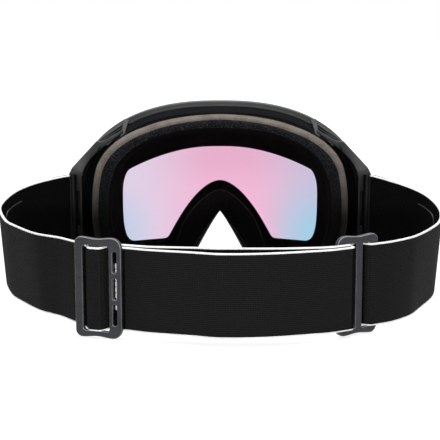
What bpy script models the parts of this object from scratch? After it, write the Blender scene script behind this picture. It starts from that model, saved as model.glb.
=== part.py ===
"""Ski goggles: a moulded frame with a double lens, layered face foam, two strap clips and an elastic strap.

X runs to the wearer's right, Y the way the wearer looks and Z up. The goggles stand on the lower edge of
the frame and on the two strap sliders. Sizes below are millimetres, and the model is in metres.
Depths are counted forward from the two strap pins, and heights up from the table.
"""
import math

import bmesh
import bpy
from mathutils import Matrix, Vector

MM = 0.001

# Clearances
GAP = 0.3
SEAM = 0.25

# Frame outline, seen from behind
FRAME_HALF_WIDTH = 87.0
FRAME_TOP = 102.5
FRAME_BOTTOM = 0.0
WIDEST_HEIGHT = 43.0
CHEEK_HALF_WIDTH = 50.0
NOSE_HALF_WIDTH = 20.0
NOSE_TOP = 34.5
UPPER_ROUNDNESS = 2.5
LOWER_ROUNDNESS = 2.4
NOSE_ROUNDNESS = 1.25

# Face foam: how far it lies inside the frame outline, and how wide its band is
FOAM_SIDE_INSET = 10.2
FOAM_TOP_INSET = 4.9
FOAM_BOTTOM_INSET = 2.5
FOAM_NOSE_INSET = 2.5
FOAM_SIDE_BAND = 10.3
FOAM_TOP_BAND = 9.1
FOAM_BOTTOM_BAND = 5.5
FOAM_NOSE_BAND = 6.0
FOAM_ROUNDNESS = 2.6

# Opening in front of the lens seat
OPENING_HALF_WIDTH = 60.4
OPENING_TOP = 73.9
OPENING_BOTTOM = 14.8
OPENING_NOSE_HALF_WIDTH = 34.5
OPENING_NOSE_TOP = 52.0
OPENING_ROUNDNESS = 3.1
OPENING_NOSE_ROUNDNESS = 1.25
OPENING_CHEEK_HALF_WIDTH = 52.0
OPENING_CHEEK_ROUNDNESS = 3.2

# Depths on the middle plane, and the radius that every depth wraps round the face
WRAP_RADIUS = 118.0
LENS_SEAT_DEPTH = 52.0
LIP_HEIGHT = 4.0
RIM_LENGTH = 14.0
SEAT_WALL = 3.0
FLANGE_REAR_DEPTH = 26.3
FLANGE_THICKNESS = 3.2
INNER_LEDGE = 4.5

# Face foam layers
BASE_FOAM_THICKNESS = 4.4
MIDDLE_FOAM_THICKNESS = 6.9
FLEECE_THICKNESS = 2.5
FOAM_EDGE = 0.03
FLANK_LEAN = 0.34
FLEECE_BAND = 0.66

# Lens module
SEAL_THICKNESS = 0.8
CARRIER_LIP = 1.4
INNER_LENS_THICKNESS = 1.2
SPACER_THICKNESS = 2.8
OUTER_LENS_THICKNESS = 1.5

# Lens latches at the upper corners, as shares of the frame's half width
STRUT_START = 0.655
STRUT_END = 0.6835
LATCH_END = 0.87
ZONE_EDGE = 0.0025
LATCH_TAB_LENGTH = 8.9
LATCH_STEM_LENGTH = 4.5
LATCH_PIN_DIAMETER = 1.6

# Strap clips on their pins, and the outriggers that hold the pins
PIN_OUTSET = 0.2
PIN_SETBACK = 5.1
STRAP_PIN_DIAMETER = 1.6
BARREL_DIAMETER = 4.0
CLIP_SPREAD = 58.0
CLIP_PLATE_LENGTH = 14.0
CLIP_PLATE_THICKNESS = 1.1
CLIP_MARGIN = 1.5
OUTRIGGER_OVERHANG = 2.3
OUTRIGGER_WIDTH = 8.8
OUTRIGGER_BACK = 3.2
OUTRIGGER_ARM = 8.7
OUTRIGGER_EAR = 3.2
OUTRIGGER_TOP_SLOPE = 1.17
SLOT_WIDTH = 2.6
SLOT_HEIGHT = 20.0

# Strap
STRAP_WIDTH = 42.0
STRAP_THICKNESS = 1.6
STRAP_RISE = 15.6
RISE_END = 1.0
LEFT_RISE_LENGTH = 62.0
RIGHT_RISE_LENGTH = 42.0
LAYER_GAP = 0.4
WEAVE_SLACK = 0.3
LOOSE_BEHIND = 5.0
INNER_BOW = 6.5
LOOP_BULGE = 34.5
LOOP_DEPTH = 149.5
LAY_IN = 30.0

# Sliders
BAR_THICKNESS = 2.6
END_BAR = 4.2
WIDE_BAR = 4.3
CENTRE_BAR = 4.2
STRAP_WINDOW = 4.9
INNER_SLOT_BAR = 2.1
STITCH_SLOT = 2.1
OUTER_SLOT_BAR = 2.6
STITCH_SLOTS = 3
SLOT_BRIDGE = 2.6
WINDOW_MARGIN = 0.5
SLIDER_CORNER = 2.0
RUN_MARGIN = 1.6

# Roundness of drilled holes and pins
PIN_SIDES = 14

# Levels between the frame's outlines, from the rim to the opening
RIM, FOAM_OUTER, FOAM_INNER, OPENING = 0.0, 1.0, 2.0, 3.0

# Sizes worked out from those above
LIP_FRONT_DEPTH = LENS_SEAT_DEPTH + LIP_HEIGHT
RIM_REAR_DEPTH = LIP_FRONT_DEPTH - RIM_LENGTH
RECESS_FRONT_DEPTH = LENS_SEAT_DEPTH - SEAT_WALL
FLANGE_FRONT_DEPTH = FLANGE_REAR_DEPTH + FLANGE_THICKNESS
LEDGE_DEPTH = LENS_SEAT_DEPTH - INNER_LEDGE
PIN_X = FRAME_HALF_WIDTH + PIN_OUTSET
LOOP_HALF_WIDTH = PIN_X + LOOP_BULGE
OUTRIGGER_OUTER_X = PIN_X + OUTRIGGER_OVERHANG
OUTRIGGER_INNER_X = OUTRIGGER_OUTER_X - OUTRIGGER_WIDTH
SLIDER_WIDTH = (WIDE_BAR + CENTRE_BAR + 2 * STRAP_WINDOW
                + INNER_SLOT_BAR + STITCH_SLOT + OUTER_SLOT_BAR)
WINDOW_HEIGHT = STRAP_WIDTH + 2 * WINDOW_MARGIN
SLIDER_HEIGHT = WINDOW_HEIGHT + 2 * END_BAR
STRAP_BOTTOM = END_BAR + WINDOW_MARGIN
OVER_BAR = BAR_THICKNESS / 2 + GAP + WEAVE_SLACK + STRAP_THICKNESS / 2
UNDER_LAYER = OVER_BAR + STRAP_THICKNESS + LAYER_GAP
INNER_SLIDER_SHIFT = -(OVER_BAR + UNDER_LAYER)
CLIP_ANGLE = math.radians(CLIP_SPREAD)
PIN_STRAP_BOTTOM = STRAP_BOTTOM + STRAP_RISE
BARREL_BOTTOM = PIN_STRAP_BOTTOM + CLIP_MARGIN
BARREL_HEIGHT = STRAP_WIDTH - 2 * CLIP_MARGIN
CLIP_REACH = (OUTRIGGER_OVERHANG + GAP + STRAP_THICKNESS / 2) / math.sin(CLIP_ANGLE)


def sag(x):
    """How far the wrap lies behind the middle plane's depth."""
    return WRAP_RADIUS - math.sqrt(WRAP_RADIUS ** 2 - x ** 2)


def side_depth(x):
    """Depth of the back of the frame's solid side."""
    level = (FRAME_HALF_WIDTH - x) / FOAM_SIDE_INSET
    return FLANGE_FRONT_DEPTH + (RIM_REAR_DEPTH - FLANGE_FRONT_DEPTH) * (1.0 - level) - sag(x)


OUTRIGGER_FRONT_DEPTH = min(side_depth(OUTRIGGER_INNER_X), side_depth(FRAME_HALF_WIDTH)) - GAP
OUTRIGGER_ARM_DEPTH = OUTRIGGER_FRONT_DEPTH + OUTRIGGER_ARM
PIN_DEPTH = OUTRIGGER_FRONT_DEPTH - PIN_SETBACK
OUTRIGGER_REAR_DEPTH = PIN_DEPTH - OUTRIGGER_BACK


def clear_scene():
    for old in list(bpy.data.objects):
        bpy.data.objects.remove(old, do_unlink=True)


def new_collection(name):
    collection = bpy.data.collections.new(name)
    bpy.context.scene.collection.children.link(collection)
    return collection


def finish(name, colour, roughness, metallic=0.0):
    material = bpy.data.materials.new(name)
    material.use_nodes = True
    shader = material.node_tree.nodes["Principled BSDF"]
    shader.inputs["Base Color"].default_value = (*colour, 1.0)
    shader.inputs["Roughness"].default_value = roughness
    shader.inputs["Metallic"].default_value = metallic
    return material


def put(name, bm, material, origin=(0.0, 0.0, 0.0)):
    """Makes a part from a mesh in millimetres, with its origin at the given point."""
    bmesh.ops.recalc_face_normals(bm, faces=bm.faces)
    bmesh.ops.translate(bm, vec=-Vector(origin), verts=bm.verts)
    bmesh.ops.scale(bm, vec=(MM, MM, MM), verts=bm.verts)
    mesh = bpy.data.meshes.new(name)
    bm.to_mesh(mesh)
    bm.free()
    part = bpy.data.objects.new(name, mesh)
    part.location = Vector(origin) * MM
    if material is None:
        CUTTERS.objects.link(part)
        part.hide_render = True
        part.display_type = "WIRE"
    else:
        mesh.materials.append(material)
        PARTS.objects.link(part)
    part.parent = ASSEMBLY
    return part


def cut(part, cutter):
    hole = part.modifiers.new("cut " + cutter.name, "BOOLEAN")
    hole.operation = "DIFFERENCE"
    hole.solver = "EXACT"
    hole.object = cutter


def join(part, addition):
    joint = part.modifiers.new("join " + addition.name, "BOOLEAN")
    joint.operation = "UNION"
    joint.solver = "EXACT"
    joint.object = addition


def box_mesh(low, high):
    bm = bmesh.new()
    bmesh.ops.create_cube(bm, size=1.0)
    size = Vector(high) - Vector(low)
    bmesh.ops.scale(bm, vec=size, verts=bm.verts)
    bmesh.ops.translate(bm, vec=(Vector(low) + Vector(high)) / 2, verts=bm.verts)
    return bm


def rod_mesh(start, end, diameter):
    """A round bar between two points."""
    start, end = Vector(start), Vector(end)
    bm = bmesh.new()
    bmesh.ops.create_cone(bm, cap_ends=True, segments=PIN_SIDES, radius1=diameter / 2,
                          radius2=diameter / 2, depth=(end - start).length)
    turn = (end - start).to_track_quat("Z", "Y").to_matrix().to_4x4()
    bmesh.ops.transform(bm, matrix=Matrix.Translation((start + end) / 2) @ turn, verts=bm.verts)
    return bm


# Outlines of the frame
class Outline:
    """Half an outline seen from behind: a rounded brow, a cheek, a straight lower edge and the nose."""

    def __init__(self, width, top, bottom, cheek, nose_width, nose_top, brow=UPPER_ROUNDNESS,
                 nose=NOSE_ROUNDNESS, lower=LOWER_ROUNDNESS):
        self.width, self.top, self.bottom = width, top, bottom
        self.cheek, self.nose_width, self.nose_top = cheek, nose_width, nose_top
        self.brow, self.nose, self.lower = brow, nose, lower

    def point(self, stretch, share):
        if stretch == "brow":
            rise = max(1.0 - share ** self.brow, 0.0) ** (1.0 / self.brow)
            return self.width * share, WIDEST_HEIGHT + (self.top - WIDEST_HEIGHT) * rise
        angle = share * math.pi / 2
        across, along = max(math.cos(angle), 0.0), math.sin(angle)
        if stretch == "cheek":
            power = 2.0 / self.lower
            x = self.cheek + (self.width - self.cheek) * across ** power
            return x, WIDEST_HEIGHT - (WIDEST_HEIGHT - self.bottom) * along ** power
        if stretch == "lower edge":
            return self.cheek + (self.nose_width - self.cheek) * share, self.bottom
        power = 2.0 / self.nose
        x = 0.0 if share == 1.0 else self.nose_width * across ** power
        return x, self.bottom + (self.nose_top - self.bottom) * along ** power


RIM_LINE = Outline(FRAME_HALF_WIDTH, FRAME_TOP, FRAME_BOTTOM, CHEEK_HALF_WIDTH, NOSE_HALF_WIDTH, NOSE_TOP)
FOAM_OUTER_LINE = Outline(FRAME_HALF_WIDTH - FOAM_SIDE_INSET, FRAME_TOP - FOAM_TOP_INSET,
                          FRAME_BOTTOM + FOAM_BOTTOM_INSET, CHEEK_HALF_WIDTH,
                          NOSE_HALF_WIDTH + FOAM_NOSE_INSET, NOSE_TOP + FOAM_NOSE_INSET, FOAM_ROUNDNESS)
FOAM_INNER_LINE = Outline(FOAM_OUTER_LINE.width - FOAM_SIDE_BAND, FOAM_OUTER_LINE.top - FOAM_TOP_BAND,
                          FOAM_OUTER_LINE.bottom + FOAM_BOTTOM_BAND, CHEEK_HALF_WIDTH,
                          FOAM_OUTER_LINE.nose_width + FOAM_NOSE_BAND,
                          FOAM_OUTER_LINE.nose_top + FOAM_NOSE_BAND, FOAM_ROUNDNESS)
OPENING_LINE = Outline(OPENING_HALF_WIDTH, OPENING_TOP, OPENING_BOTTOM, OPENING_CHEEK_HALF_WIDTH,
                       OPENING_NOSE_HALF_WIDTH, OPENING_NOSE_TOP, OPENING_ROUNDNESS, OPENING_NOSE_ROUNDNESS,
                       OPENING_CHEEK_ROUNDNESS)
LINES = (RIM_LINE, FOAM_OUTER_LINE, FOAM_INNER_LINE, OPENING_LINE)

VENT_ZONE = [("brow", share) for share in (0.0, 0.12, 0.24, 0.36, 0.47, 0.57, STRUT_START)]
STRUT_ZONE = [("brow", STRUT_START + ZONE_EDGE), ("brow", STRUT_END - ZONE_EDGE)]
LATCH_ZONE = [("brow", STRUT_END), ("brow", 0.73), ("brow", 0.78), ("brow", 0.83), ("brow", LATCH_END)]
SIDE_ZONE = ([("brow", share) for share in (LATCH_END + ZONE_EDGE, 0.92, 0.96, 0.985, 1.0)]
             + [("cheek", share) for share in (0.15, 0.3, 0.45, 0.6, 0.75, 0.9, 1.0)]
             + [("lower edge", 0.14)])
LOWER_VENT_ZONE = [("lower edge", share) for share in (0.16, 0.5, 0.84)]
NOSE_ZONE = ([("lower edge", 0.86), ("lower edge", 1.0)]
             + [("nose", share) for share in (0.12, 0.25, 0.4, 0.55, 0.7, 0.85, 1.0)])
ALL_ROUND = VENT_ZONE + STRUT_ZONE + LATCH_ZONE + SIDE_ZONE + LOWER_VENT_ZONE + NOSE_ZONE


def place(station, level, depth):
    """The point of a station at a level between the outlines, at a depth that wraps round the face."""
    inner = min(int(level), len(LINES) - 2)
    mix = level - inner
    x0, z0 = LINES[inner].point(*station)
    x1, z1 = LINES[inner + 1].point(*station)
    x = x0 + (x1 - x0) * mix
    return Vector((x, depth - sag(x), z0 + (z1 - z0) * mix))


def loft(stations, sections, side=1, closed_ends=True):
    """Joins a ring of points at each station to the next ring."""
    bm = bmesh.new()
    rings = []
    for station, section in zip(stations, sections):
        ring = []
        for level, depth in section:
            point = place(station, level, depth)
            ring.append(bm.verts.new((side * point.x, point.y, point.z)))
        rings.append(ring)
    for ring, following in zip(rings, rings[1:]):
        for i in range(len(ring)):
            j = (i + 1) % len(ring)
            bm.faces.new((ring[i], ring[j], following[j], following[i]))
    if closed_ends:
        bm.faces.new(rings[0])
        bm.faces.new(list(reversed(rings[-1])))
    return bm


def mirror(part):
    halves = part.modifiers.new("mirror", "MIRROR")
    halves.use_axis = (True, False, False)
    halves.merge_threshold = 0.00002


def outward(bm):
    """Turns an open half shape the right way out, by its flow across the middle plane."""
    bmesh.ops.recalc_face_normals(bm, faces=bm.faces)
    flow = sum(face.calc_center_median().x * face.normal.x * face.calc_area() for face in bm.faces)
    if flow < 0:
        bmesh.ops.reverse_faces(bm, faces=bm.faces)
    return bm


def put_half(name, bm, material):
    """Makes a symmetric part from its right half, open at the middle plane."""
    outward(bm)
    bmesh.ops.scale(bm, vec=(MM, MM, MM), verts=bm.verts)
    mesh = bpy.data.meshes.new(name)
    bm.to_mesh(mesh)
    bm.free()
    mesh.materials.append(material)
    part = bpy.data.objects.new(name, mesh)
    PARTS.objects.link(part)
    part.parent = ASSEMBLY
    mirror(part)
    return part


def ring_part(name, section, material):
    """A ring of one section all round the frame."""
    return put_half(name, loft(ALL_ROUND, [section] * len(ALL_ROUND), closed_ends=False), material)


# Frame
LIP_LEVEL = 0.4
LIP_CREST_LEVEL = 0.15
RIM_UNDER_LEVEL = 0.5
RECESS_LEVEL = 0.6
RECESS_FLOOR_FRONT = 2.75
RECESS_FLOOR_REAR = 1.75
LATCH_FLOOR = 1.15


def frame_section(rim_rear, outer_wall):
    """One cut through the frame: the lens lip and rim, an outer wall, the flange and the inner wall."""
    return ([(LIP_LEVEL, LIP_FRONT_DEPTH), (LIP_CREST_LEVEL, LIP_FRONT_DEPTH),
             (RIM, LIP_FRONT_DEPTH - LIP_HEIGHT), (RIM, rim_rear)]
            + outer_wall
            + [(FOAM_OUTER, FLANGE_FRONT_DEPTH), (FOAM_OUTER, FLANGE_REAR_DEPTH),
               (FOAM_INNER, FLANGE_REAR_DEPTH), (OPENING, LEDGE_DEPTH),
               (OPENING, LENS_SEAT_DEPTH), (LIP_LEVEL, LENS_SEAT_DEPTH)])


def add_frame():
    vented = frame_section(RIM_REAR_DEPTH, [(RIM_UNDER_LEVEL, RIM_REAR_DEPTH),
                                            (RECESS_LEVEL, RECESS_FRONT_DEPTH),
                                            (RECESS_FLOOR_FRONT, RECESS_FRONT_DEPTH),
                                            (RECESS_FLOOR_REAR, FLANGE_FRONT_DEPTH)])
    span = RIM_REAR_DEPTH - FLANGE_FRONT_DEPTH
    solid = frame_section(RIM_REAR_DEPTH, [(share, FLANGE_FRONT_DEPTH + span * (1.0 - share))
                                           for share in (0.15, 0.35, 0.6, 0.85)])
    latch_front = RECESS_FRONT_DEPTH + 2 * GAP
    latched = frame_section(latch_front + GAP, [(LIP_LEVEL - ZONE_EDGE, latch_front + GAP),
                                                (LIP_LEVEL, latch_front),
                                                (LATCH_FLOOR, RECESS_FRONT_DEPTH),
                                                (LATCH_FLOOR, FLANGE_FRONT_DEPTH)])
    sections = ([vented] * len(VENT_ZONE) + [solid] * len(STRUT_ZONE) + [latched] * len(LATCH_ZONE)
                + [solid] * len(SIDE_ZONE) + [vented] * len(LOWER_VENT_ZONE) + [solid] * len(NOSE_ZONE))
    return put_half("frame_shell", loft(ALL_ROUND, sections, closed_ends=False), FRAME_GREY)


def vent_section():
    """Open foam that fills the vent recess up to just under the rim."""
    front, rear = RECESS_FRONT_DEPTH - GAP, FLANGE_FRONT_DEPTH + GAP
    return [(RECESS_LEVEL + 0.25, front), (RECESS_FLOOR_FRONT - 0.35, front),
            (RECESS_FLOOR_REAR - 0.13, rear), (FOAM_OUTER + 0.02, rear)]


def add_vent_foam():
    top_stations = VENT_ZONE[:-1] + [("brow", STRUT_START - ZONE_EDGE)]
    top = loft(top_stations, [vent_section()] * len(top_stations), closed_ends=False)
    top.verts.ensure_lookup_table()
    count = len(vent_section())
    top.faces.new(top.verts[-count:])
    put_half("top_vent_foam", top, VENT_BLACK)
    low_stations = [("lower edge", share) for share in (0.19, 0.5, 0.79)]
    for name, side in SIDES:
        low = loft(low_stations, [vent_section()] * len(low_stations), side)
        put(name + "_lower_vent_foam", low, VENT_BLACK)


def cushion(outer, inner, front, rear):
    """A foam layer's section with eased corners and slightly full sides."""
    middle = (front + rear) / 2
    return [(outer + FOAM_EDGE, front), (inner - FOAM_EDGE, front), (inner, middle),
            (inner - FOAM_EDGE, rear), (outer + FOAM_EDGE, rear), (outer, middle)]


def add_face_foam():
    base_front = FLANGE_REAR_DEPTH - GAP
    base_rear = base_front - BASE_FOAM_THICKNESS
    ring_part("foam_base", cushion(FOAM_OUTER, FOAM_INNER, base_front, base_rear), FOAM_BLACK)
    front = base_rear - GAP
    rear = front - MIDDLE_FOAM_THICKNESS
    flank = [(FOAM_OUTER + FLANK_LEAN * share ** 2, front - MIDDLE_FOAM_THICKNESS * share)
             for share in (1.0, 0.75, 0.45, 0.15)]
    ring_part("foam_middle", cushion(FOAM_OUTER, FOAM_INNER, front, rear)[:4] + flank, FOAM_BROWN)
    front = rear - GAP
    rear = front - FLEECE_THICKNESS
    crown = [(FOAM_OUTER + FLANK_LEAN + FLEECE_BAND * share, front - FLEECE_THICKNESS * height)
             for share, height in ((0.06, 0.0), (0.94, 0.0), (1.0, 0.5), (0.82, 0.85), (0.5, 1.0),
                                   (0.18, 0.8), (0.0, 0.4))]
    ring_part("foam_fleece", crown, FLEECE_GREY)


# Lens module, which pulls off forwards
def lens_sheet(line_level, depth):
    """A curved sheet that fills the outline at a level."""
    columns = [("brow", share) for share in (0.0, 0.08, 0.17, 0.27, 0.37, 0.47, 0.57, 0.67, 0.76, 0.84, 0.91,
                                             0.96, 0.99)]
    lower = [("nose", 1.0 - i / 40) for i in range(41)] + [("lower edge", 1.0 - i / 10) for i in range(11)]
    lower += [("cheek", 1.0 - i / 60) for i in range(60)]
    lower_points = [place(station, line_level, 0.0) for station in lower]
    rows = 6
    bm = bmesh.new()
    grid = []
    for column in columns:
        top = place(column, line_level, 0.0)
        foot = lower_edge_height(lower_points, top.x)
        grid.append([bm.verts.new((top.x, depth - sag(top.x), foot + (top.z - foot) * row / rows))
                     for row in range(rows + 1)])
    for column, following in zip(grid, grid[1:]):
        for row in range(rows):
            bm.faces.new((column[row], following[row], following[row + 1], column[row + 1]))
    return bm


def lower_edge_height(points, x):
    for near, far in zip(points, points[1:]):
        if near.x <= x <= far.x and far.x > near.x:
            return near.z + (far.z - near.z) * (x - near.x) / (far.x - near.x)
    return points[-1].z


def add_sheet(name, level, depth, thickness, material):
    bm = lens_sheet(level, depth)
    bmesh.ops.scale(bm, vec=(MM, MM, MM), verts=bm.verts)
    mesh = bpy.data.meshes.new(name)
    bm.to_mesh(mesh)
    bm.free()
    mesh.materials.append(material)
    part = bpy.data.objects.new(name, mesh)
    PARTS.objects.link(part)
    part.parent = ASSEMBLY
    mirror(part)
    shell = part.modifiers.new("thickness", "SOLIDIFY")
    shell.thickness = thickness * MM
    shell.offset = -1.0
    shell.use_even_offset = True
    return part


def add_lens_module():
    seal_rear = LENS_SEAT_DEPTH + GAP
    carrier_rear = seal_rear + SEAL_THICKNESS + GAP
    inner_rear = carrier_rear + CARRIER_LIP + GAP
    spacer_rear = inner_rear + INNER_LENS_THICKNESS / SHEET_STEEPNESS + GAP
    outer_rear = spacer_rear + SPACER_THICKNESS + GAP
    carrier_front = outer_rear - GAP
    ring_part("lens_seal", [(0.75, seal_rear), (0.75, seal_rear + SEAL_THICKNESS),
                            (1.35, seal_rear + SEAL_THICKNESS), (1.35, seal_rear)], SEAL_BLACK)
    ring_part("lens_carrier", [(0.55, carrier_rear), (0.55, carrier_front), (0.85, carrier_front),
                               (0.85, carrier_rear + CARRIER_LIP), (1.6, carrier_rear + CARRIER_LIP),
                               (1.6, carrier_rear), (1.35, carrier_rear), (1.05, carrier_rear),
                               (0.75, carrier_rear)], FRAME_GREY)
    add_sheet("inner_lens", 1.15, inner_rear, INNER_LENS_THICKNESS, LENS_CLEAR)
    ring_part("lens_spacer", [(1.2, spacer_rear), (1.2, spacer_rear + SPACER_THICKNESS),
                              (1.55, spacer_rear + SPACER_THICKNESS), (1.55, spacer_rear)], SEAL_BLACK)
    add_sheet("outer_lens", 0.3, outer_rear, OUTER_LENS_THICKNESS, LENS_TINT)


# A sheet's thickness is square to it, so along the depth it takes up to this share more at the temples
SHEET_STEEPNESS = math.cos(math.asin(FRAME_HALF_WIDTH / WRAP_RADIUS))


def latch_axis(side):
    """Two points on the line of a latch pin, one in the strut and one in the frame's side."""
    depth = RECESS_FRONT_DEPTH + GAP - LATCH_TAB_LENGTH / 2
    ends = [place(("brow", share), 0.7, depth) for share in (STRUT_START + 3 * ZONE_EDGE, LATCH_END + 0.02)]
    return [Vector((side * p.x, p.y, p.z)) for p in ends]


def add_latches(frame):
    front = RECESS_FRONT_DEPTH + GAP
    rear = front - LATCH_TAB_LENGTH
    stem_front = (front + rear) / 2 + LATCH_STEM_LENGTH / 2
    stem_rear = stem_front - LATCH_STEM_LENGTH
    tab = [(RIM, rear), (RIM, front), (0.3, front), (0.3, stem_front), (1.05, stem_front),
           (1.05, stem_rear), (0.3, stem_rear), (0.3, rear)]
    first, last = ("brow", STRUT_END + 2 * ZONE_EDGE), ("brow", LATCH_END - 2 * ZONE_EDGE)
    stations = [first] + LATCH_ZONE[1:-1] + [last]
    for name, side in SIDES:
        start, end = latch_axis(side)
        middle = (start + end) / 2
        latch = put(name + "_lens_latch", loft(stations, [tab] * len(stations), side), FRAME_GREY, middle)
        put(name + "_latch_pin", rod_mesh(start, end, LATCH_PIN_DIAMETER), STEEL, middle)
        along = (end - start).normalized() * 2 * GAP
        hole = rod_mesh(start - along, end + along, LATCH_PIN_DIAMETER + 2 * GAP)
        bore = put(name + "_latch_bore", hole, None)
        cut(latch, bore)
        cut(frame, bore)


# Strap anchors
def pin_point(side):
    return Vector((side * PIN_X, PIN_DEPTH, 0.0))


def extrude_plan(points, bottom, top_of):
    """A plan outline drawn up to a top that may slope with x."""
    bm = bmesh.new()
    low = [bm.verts.new((x, y, bottom)) for x, y in points]
    high = [bm.verts.new((x, y, top_of(x))) for x, y in points]
    bm.faces.new(low)
    bm.faces.new(high)
    for i in range(len(points)):
        j = (i + 1) % len(points)
        bm.faces.new((low[i], low[j], high[j], high[i]))
    return bm


def add_outriggers():
    barrel_top = BARREL_BOTTOM + BARREL_HEIGHT
    bottom = BARREL_BOTTOM - GAP - OUTRIGGER_EAR
    corner = barrel_top + GAP + OUTRIGGER_EAR
    arm_x = FRAME_HALF_WIDTH + GAP
    plan = [(OUTRIGGER_INNER_X, OUTRIGGER_REAR_DEPTH), (OUTRIGGER_OUTER_X, OUTRIGGER_REAR_DEPTH),
            (OUTRIGGER_OUTER_X, OUTRIGGER_ARM_DEPTH), (arm_x, OUTRIGGER_ARM_DEPTH + 2 * GAP),
            (arm_x, OUTRIGGER_FRONT_DEPTH), (OUTRIGGER_INNER_X, OUTRIGGER_FRONT_DEPTH)]
    barrel_room = BARREL_DIAMETER / 2 + GAP
    reach = CLIP_PLATE_LENGTH
    slot_middle = BARREL_BOTTOM + BARREL_HEIGHT / 2
    for name, side in SIDES:
        pin = pin_point(side)
        block = extrude_plan([(side * x, y) for x, y in plan], bottom,
                             lambda x: corner + (OUTRIGGER_OUTER_X - abs(x)) * OUTRIGGER_TOP_SLOPE)
        outrigger = put(name + "_outrigger", block, FRAME_GREY)
        room = [side * (PIN_X - barrel_room), side * (OUTRIGGER_OUTER_X + reach)]
        notch = box_mesh((min(room), OUTRIGGER_REAR_DEPTH - reach, BARREL_BOTTOM - GAP),
                         (max(room), PIN_DEPTH + barrel_room, barrel_top + GAP))
        cut(outrigger, put(name + "_barrel_room", notch, None))
        slot_x = [side * (PIN_X - barrel_room - SLOT_WIDTH), side * PIN_X]
        slot = box_mesh((min(slot_x), OUTRIGGER_REAR_DEPTH - reach, slot_middle - SLOT_HEIGHT / 2),
                        (max(slot_x), PIN_DEPTH + barrel_room / 2, slot_middle + SLOT_HEIGHT / 2))
        cut(outrigger, put(name + "_outrigger_slot", slot, None))
        low = Vector((pin.x, pin.y, BARREL_BOTTOM - GAP - 0.7 * OUTRIGGER_EAR))
        high = Vector((pin.x, pin.y, barrel_top + GAP + 0.7 * OUTRIGGER_EAR))
        put(name + "_strap_pin", rod_mesh(low, high, STRAP_PIN_DIAMETER), STEEL, low)
        spare = Vector((0.0, 0.0, GAP))
        hole = rod_mesh(low - spare, high + spare, STRAP_PIN_DIAMETER + 2 * GAP)
        bore = put(name + "_pin_bore", hole, None)
        cut(outrigger, bore)
        add_clip(name, side, bore)


def clip_frame(side):
    """The directions along a clip's strap and out from it."""
    along = Vector((side * math.sin(CLIP_ANGLE), -math.cos(CLIP_ANGLE), 0.0))
    out = Vector((side * math.cos(CLIP_ANGLE), math.sin(CLIP_ANGLE), 0.0))
    return along, out


def add_clip(name, side, bore):
    """A barrel round the pin with a plate along the outside of the strap's end."""
    pin = pin_point(side)
    along, out = clip_frame(side)
    top = BARREL_BOTTOM + BARREL_HEIGHT
    barrel = rod_mesh((pin.x, pin.y, BARREL_BOTTOM), (pin.x, pin.y, top), BARREL_DIAMETER)
    clip = put(name + "_strap_clip", barrel, FRAME_GREY, pin)
    inner = STRAP_THICKNESS / 2 + GAP
    outer = inner + CLIP_PLATE_THICKNESS
    corners = [(0.0, inner), (CLIP_PLATE_LENGTH, inner), (CLIP_PLATE_LENGTH, outer), (0.0, outer)]
    plan = [pin + along * a + out * o for a, o in corners]
    plate = extrude_plan([(p.x, p.y) for p in plan], BARREL_BOTTOM + CLIP_MARGIN, lambda x: top - CLIP_MARGIN)
    join(clip, put(name + "_clip_plate", plate, None))
    cut(clip, bore)


# Strap loop
def loop_point(side, x, y):
    """A point of the loop from shares of its half width and of its depth behind the pins."""
    return Vector((side * x * LOOP_HALF_WIDTH, PIN_DEPTH - y * LOOP_DEPTH, 0.0))


def run_ends(side):
    """The two ends of the straight run that holds a slider, and its direction towards the right."""
    middle = loop_point(side, *SLIDER_PLACES[side])
    turn = math.radians(SLIDER_TURNS[side])
    along = Vector((math.cos(turn), side * math.sin(turn), 0.0))
    reach = along * (SLIDER_WIDTH / 2 + RUN_MARGIN)
    return middle - reach, middle + reach, along


def loop_knots():
    """Points of the strap's middle line from the left pin to the right one, some with a direction."""
    knots = []
    for side in (-1, 1):
        along, _ = clip_frame(side)
        pin = pin_point(side)
        first, second, run = run_ends(side)
        plate_end = CLIP_PLATE_LENGTH + GAP
        ends = [(pin + along * reach, -side * along) for reach in (CLIP_REACH, plate_end)]
        outer = [(loop_point(side, *bend), None) for bend in OUTER_BENDS[side]]
        held = [(first, run), (second, run)]
        inner = [(loop_point(side, *bend), None) for bend in INNER_BENDS[side]]
        if side < 0:
            knots += ends + outer + held + inner + [(loop_point(side, 0.0, 1.0), None)]
        else:
            knots += inner[::-1] + held + outer[::-1] + ends[::-1]
    return knots


# Bends of the loop by side, as shares of its half width and depth; between outer and inner lies the slider
OUTER_BENDS = {-1: [(0.896, 0.09), (0.955, 0.147), (0.988, 0.225), (1.0, 0.301), (0.96, 0.395),
                    (0.898, 0.485), (0.784, 0.629), (0.695, 0.698)],
               1: [(0.896, 0.09), (0.955, 0.147), (0.989, 0.23), (1.0, 0.317), (0.973, 0.419),
                   (0.91, 0.541), (0.807, 0.705)]}
INNER_BENDS = {-1: [(0.302, 0.932), (0.122, 0.972)], 1: [(0.359, 0.959), (0.18, 0.993)]}
SLIDER_PLACES = {-1: (0.497, 0.873), 1: (0.593, 0.874)}
SLIDER_TURNS = {-1: 18.0, 1: 30.0}


def smooth_curve(knots, steps=14):
    """A smooth curve through the knots, read closely."""
    points = [point for point, _ in knots]
    ways = []
    for i, (_, way) in enumerate(knots):
        ways.append(way or (points[i + 1] - points[i - 1]).normalized())
    curve = []
    for p, q, leave, reach in zip(points, points[1:], ways, ways[1:]):
        span = (q - p).length
        for i in range(steps):
            t = i / steps
            curve.append(p * (2 * t ** 3 - 3 * t ** 2 + 1) + leave * span * (t ** 3 - 2 * t ** 2 + t)
                         + q * (3 * t ** 2 - 2 * t ** 3) + reach * span * (t ** 3 - t ** 2))
    return curve + [points[-1]]


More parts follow.
